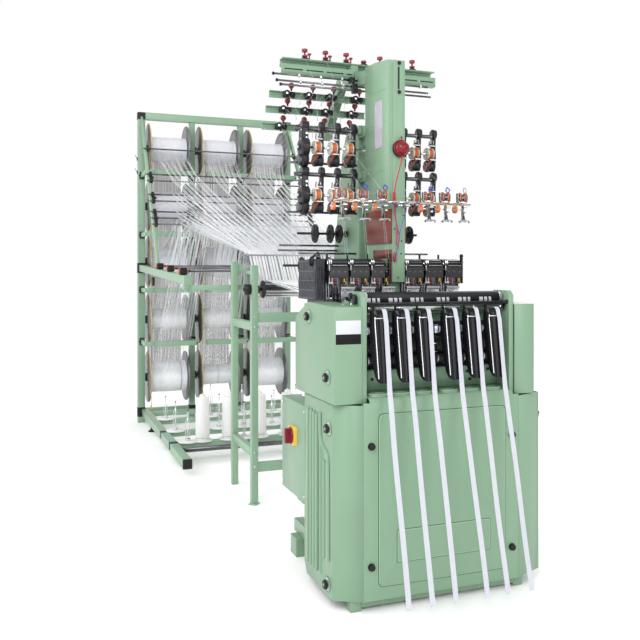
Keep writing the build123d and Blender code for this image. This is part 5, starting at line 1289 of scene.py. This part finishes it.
# beam hubs: stiffening cone, ring of screws, gudgeon collar, on each beam's body
for r in range(5):
    for c in range(3):
        cx, cz, yr = BEAM_X[c], BEAM_Z[r], YARN_R[r][c]
        S = Soup()
        for s in (-1, 1):
            o = (cx + s * 139.2, CREEL_Y, cz)
            S.lathe(o, (s, 0, 0), [(0, 34), (1.5, 33), (4.5, 20), (5.6, 13)], 28, "flange")
            for k in range(6):
                a = 2 * math.pi * k / 6 + 0.3
                S.cyl((cx + s * 139.1, CREEL_Y + 52 * math.cos(a), cz + 52 * math.sin(a)),
                      (cx + s * 142.0, CREEL_Y + 52 * math.cos(a), cz + 52 * math.sin(a)), 4.2, "dark_rod", n=6, ch=0.5)
            # rolled rim, inside face
            S.torus((cx + s * 132.2, CREEL_Y, cz), (1, 0, 0), 174.0, 2.2, "flange", n=56, m=6)
        S.make(f"beam_trim_r{r + 1}c{c + 1}", body=f"beam_r{r + 1}c{c + 1}", slot="grey_steel")
        # the wound yarn: a slightly uneven package between the flanges; the upper three rows take the darker yarn copy
        # as painted shade, the lower two the whiter copy as painted light
        S = Soup()
        lr = random.Random(100 + r * 3 + c)
        prof, k, base = [], 0, yr + 1.2
        ph = [lr.uniform(0, 6.28) for _ in range(4)]
        nx = 44
        for k in range(nx + 1):
            t = k / nx
            x = -129.6 + 259.2 * t
            edge = 1.0 - min(t, 1 - t) * 14
            rr = base + 0.7 * math.sin(9 * t + ph[0]) + 0.5 * math.sin(23 * t + ph[1]) + lr.uniform(-0.35, 0.35)
            if edge > 0:
                rr += 1.6 * edge
            prof.append((x + 129.6, rr))
        S.lathe((cx - 129.6, CREEL_Y, cz), (1, 0, 0), prof, 48, "yarn" if r < 3 else "yarn_painted_light")
        S.make(f"yarn_package_r{r + 1}c{c + 1}", body=f"beam_r{r + 1}c{c + 1}", slot="white_yarn", angle=70)

# rope tails of the brakes: from the rim down to a hook, with a knot and frayed strands
S = Soup()
lr = random.Random(5)
for r in range(5):
    for c in range(3):
        cx, cz = BEAM_X[c] - 135.0, BEAM_Z[r]
        y0 = CREEL_Y + 182 * math.cos(math.radians(200))
        z0 = cz + 182 * math.sin(math.radians(200))
        drop = 96 if r < 4 else 120
        pts_ = [(cx, y0 + 0.6, z0 + 2)]
        for k in range(1, 9):
            t = k / 8
            pts_.append((cx + 2.0 * math.sin(t * 5 + r + c), y0 + 14 * t * t + 1.5 * math.sin(6 * t + c), z0 - drop * t))
        path = smooth_path(pts_, 9)
        for ph in (0, 2.1, 4.2):
            q = [p + Vector((1.25 * math.cos(i * 0.8 + ph), 1.25 * math.sin(i * 0.8 + ph), 0)) for i, p in enumerate(path)]
            S.tube(q, 1.35, "rope", n=5)
        e = path[-1]
        S.ball(e, 5.2, "rope", n=10, m=7, squash=(1, 1, 1.2))
        for k in range(7):
            a = lr.uniform(0, 6.28)
            S.tube([e, e + Vector((6 * math.cos(a), 6 * math.sin(a), -10)), e + Vector((10 * math.cos(a), 8 * math.sin(a),
                                                                                     -lr.uniform(16, 30)))], 0.9, "rope", n=4)
        S.tube(smooth_path([e, e + Vector((0, 8, -14)), e + Vector((2, 22, -20)), e + Vector((2, 30, -6))], 5), 1.8,
               "chrome", n=6)
S.make("rope_tails", slot="yellow_rope")

# ============================ cones =========================================
S = Soup()
for k, x in enumerate([-338.0, -182.0, 5.0, 180.0]):
    o = (x, 2215.0, 118.3)
    S.lathe(o, (0, 0, 1), [(0, 33), (0.5, 37), (3, 40.5), (8, 41.5), (60, 41.2), (150, 40.2), (205, 39.0), (222, 37.5),
                           (230, 33), (233, 24), (233.5, 19)], 40, "cone")
    S.lathe((x, 2215, 351.8), (0, 0, 1), [(0, 18.5), (4, 17.8), (14, 16.5), (15.2, 15.0), (15.4, 8)], 28, "white")
    S.lathe((x, 2215, 104.3), (0, 0, 1), [(0, 30), (4, 30), (9, 26), (13.8, 25)], 28, "white")
ob = S.make("cone_packages", slot="white_yarn")
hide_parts("yarn_cones")

# spindle springs and plate rims
S = Soup()
SPINDLE = [(-433, 2950), (-439, 2540), (-165, 2540), (-5, 2540), (180, 2540), (-130, 2950), (321, 2950),
           (-425, 2215), (-90, 2215), (280, 2215), (380, 2540), (90, 2950), (430, 2215), (480, 2950)]
for k, (x, y) in enumerate(SPINDLE):
    S.torus((x, y, 104.2), (0, 0, 1), 56.5, 1.4, "white", n=40, m=6)
    top = 250 + 30 * (k % 3)
    for a in (0.4, 2.5, 4.6):
        S.tube([(x + 2 * math.cos(a), y + 2 * math.sin(a), 122), (x + 13 * math.cos(a), y + 13 * math.sin(a), 138),
                (x + 14 * math.cos(a), y + 14 * math.sin(a), top - 70), (x + 2 * math.cos(a), y + 2 * math.sin(a), top - 44)],
               1.6, "chrome", n=5)
    S.ball((x, y, top - 2), 4.6, "black", n=12, m=8)
for x in (-338, -182, 5, 180):
    S.torus((x, 2215, 104.2), (0, 0, 1), 56.5, 1.4, "white", n=40, m=6)
S.make("spindle_trim", slot="bright_steel")

# ============================ stand fittings ================================
S = Soup()
T = 16
for sx in (-1, 1):
    x = sx * 300.0
    for y, z in ((1241, 1110.2), (1610, 1130.2)):
        S.box(x - T - 0.5, x + T + 0.5, y - T - 0.5, y + T + 0.5, z - 6, z + 2.4, "green_light", 1.5)
    for z in (872, 176, 240, 827):
        S.screw((x, 1225, z), (0, -1, 0), 4.6, "chrome", hexa=True)
    S.cyl((x - sx * 24, 1241, 1000), (x - sx * 16.5, 1241, 1000), 19, "black_cast", n=24, ch=1.5)
    S.cyl((x + sx * 16.5, 1241, 1000), (x + sx * 19.5, 1241, 1000), 19, "black_cast", n=24, ch=1.0)
    S.lathe((x, 1241, 0.4), (0, 0, 1), [(0, 28), (3, 28), (5, 26)], 4, "green_light", start=math.pi / 4)
for x in (-332.5,):
    for k in range(6):
        a = math.pi / 3 * k
        S.cyl((x - 10, 1241 + 21 * math.cos(a), 1000 + 21 * math.sin(a)),
              (x + 10, 1241 + 21 * math.cos(a), 1000 + 21 * math.sin(a)), 6, "black", n=14, ch=1.4)
# comb with pins along the clear plate's top
S.box(-311, 300, 1396, 1408, 1158, 1166, "steel", 1.0)
for k in range(61):
    x = -300 + k * 9.6
    S.cyl((x, 1402, 1166), (x, 1402, 1186), 1.1, "chrome", n=6)
S.make("stand_fittings", slot="green_paint")

# ============================ warp threads ==================================
S = Soup()
lr = random.Random(77)


def strut_front(z):
    return 3384.6 - (2190.0 - z) * 0.73817


ROW_ROD = {0: (1736, 1690), 1: (1590, 1545), 2: (1470, 1428), 3: (1428, 1386), 4: (1386, 1386)}
for r in range(5):
    for c in range(3):
        cx, cz, yr = BEAM_X[c], BEAM_Z[r], YARN_R[r][c]
        bundles = 12
        for g in range(bundles):
            # each bundle leaves the package in a band and is gathered at its rod
            tb = (g + 0.5) / bundles
            slot_x = -285 + 572 * ((c + tb) / 3.0) + lr.uniform(-4, 4)
            z1 = ROW_ROD[r][g % 2]
            y1 = strut_front(z1) - 8.5
            xb = cx - 118 + 236 * tb
            fan = 0.34 + 0.16 * (r / 4.0)
            xr = xb + (slot_x - xb) * fan
            per = 5
            for k in range(per):
                q = (k - (per - 1) / 2) / per
                x0 = xb + q * 19 + lr.uniform(-0.8, 0.8)
                a = math.radians(lr.uniform(150, 172)) if z1 > cz else math.radians(lr.uniform(188, 200))
                p0 = Vector((x0, CREEL_Y + (yr + 1.6) * math.cos(a), cz + (yr + 1.6) * math.sin(a)))
                p1 = Vector((xr + q * 8, y1 + 0.5, z1 + 6.0))
                xs = slot_x + q * 7
                p2 = Vector((xs, 1403.5, 1168.5))
                p3 = Vector((xs, 1283.0, 1004.0))
                sag = lr.uniform(8, 14)
                mid = (p1 + p2) / 2 - Vector((0, 0, sag))
                S.tube([p0, p1, mid, p2, p3], 0.6, "thread_white" if (g + k) % 3 else "thread", n=3)
S.make("warp_threads_creel", slot="white_yarn")

# threads from the stand's roller into the harness: gathered bands
S = Soup()
lr = random.Random(78)
for k in range(150):
    t = (k + 0.5) / 150
    x = -245 + 490 * t
    g = min(range(6), key=lambda j: abs(CHUTE_X[j] + 35 - x))
    xe = CHUTE_X[g] + 35 + (x - CHUTE_X[g] - 35) * 0.42
    up = 26 * math.sin(k * 2.4)
    S.tube([(x, 1281, 1003), (x, 1271, 1036), (x, 1237, 1043.5), (x + (xe - x) * 0.3, 1090, 1030 + up * 0.3),
            (xe, 800, 1015 + up * 0.7), (xe, 505, 1018 + up)], 1.0, "thread_white", n=3)
S.make("warp_threads_loom", slot="white_yarn")

# the sheets that come down behind the packages, seen between the beams; their white threads are given a dark grey as
# painted shade
S = Soup()
lr = random.Random(79)
for c in range(3):
    cx = BEAM_X[c]
    for k in range(104):
        x = cx - 124 + 248 * (k + 0.5) / 104 + lr.uniform(-0.6, 0.6)
        dy = lr.uniform(-3, 3)
        S.tube([(x, 3528 + dy, 1985), (x + lr.uniform(-1, 1), 3530 + dy, 1500), (x, 3530 + dy, 900),
                (x + lr.uniform(-1, 1), 3528 + dy, 330)], 1.05, "thread_painted_shade", n=3)
S.make("warp_threads_rear", slot="white_yarn")

# thin threads from the creel's rods and the tension bars to the feeders
S = Soup()
lr = random.Random(80)
for by, bz in BARS:
    for j, x in enumerate(KNOB_X):
        fx = FEED_X[min(j, 2)] if x < 0 else FEED_X[3]
        S.tube([(x - 6, by - 22, bz + 4), ((x + fx) / 2, 690, 1690), (fx + 2, 527, 1592)], 0.28, "thread_white", n=3)
for j, x in enumerate((-242, -153, -62, 90, 165, 240)):
    S.tube([(x, 690, 1938), (x - 2, 606, 1856), (FEED_X[j], 560, 1800), (FEED_X[j] + 1, 528, 1590)], 0.28, "thread_white", n=3)
for j in range(6):
    S.tube([(FEED_X[j], 527, 1552), (SENSE_X[j] + 2, 248, 1372), (SENSE_X[j] + 4, 250, 1300), (CHUTE_X[j] + 34, 300, 1132)],
           0.22, "thread_white", n=3)
    S.tube([(FEED_X[j] + 3, 527, 1370), (SENSE_X[j] + 12, 246, 1372), (SENSE_X[j] + 8, 250, 1300),
            (CHUTE_X[j] + 44, 300, 1132)], 0.22, "thread_white", n=3)
for j in range(9):
    x = -300 + j * 30
    S.tube([(x, 2800 + j * 10, 1560), (x + 12, 1700, 1600), (-240 + j * 22, 600, 1826)], 0.45, "thread", n=3)
S.make("feed_threads", slot="white_yarn")

# ============================ stage and light ===============================
fl = bpy.data.meshes.new("floor")
fl.from_pydata([(-30, -30, -0.0006), (30, -30, -0.0006), (30, 30, -0.0006), (-30, 30, -0.0006)], [], [(0, 1, 2, 3)])
floor = bpy.data.objects.new("floor", fl)
bpy.context.scene.collection.objects.link(floor)
fm, fnt, fb = nodes_of("floor_white")
fb.inputs["Base Color"].default_value = (1.0, 1.0, 1.0, 1)
fb.inputs["Roughness"].default_value = 0.8
fl.materials.append(fm)

world = bpy.data.worlds.new("studio")
bpy.context.scene.world = world
world.use_nodes = True
bg = world.node_tree.nodes["Background"]
bg.inputs["Color"].default_value = (1, 1, 1, 1)
bg.inputs["Strength"].default_value = 1.0


def area(name, loc, target, size, power, size_y=None):
    d = bpy.data.lights.new(name, "AREA")
    d.energy = power
    d.size = size
    if size_y:
        d.shape = "RECTANGLE"
        d.size_y = size_y
    o = bpy.data.objects.new(name, d)
    bpy.context.scene.collection.objects.link(o)
    o.location = W(*loc)
    o.rotation_euler = (W(*target) - W(*loc)).to_track_quat("-Z", "Y").to_euler()
    return o


area("key", (-2600, -2600, 3600), (0, 800, 900), 2.0, 95)
area("front", (700, -3600, 2200), (0, 300, 900), 2.0, 38)
area("side", (-4200, 1500, 2600), (0, 2200, 1100), 2.4, 66)
area("rim", (3200, 3600, 3400), (0, 1200, 1000), 2.2, 40)
area("strip", (-1500, -2500, 1500), (-60, 0, 860), 0.3, 9, 2.2)
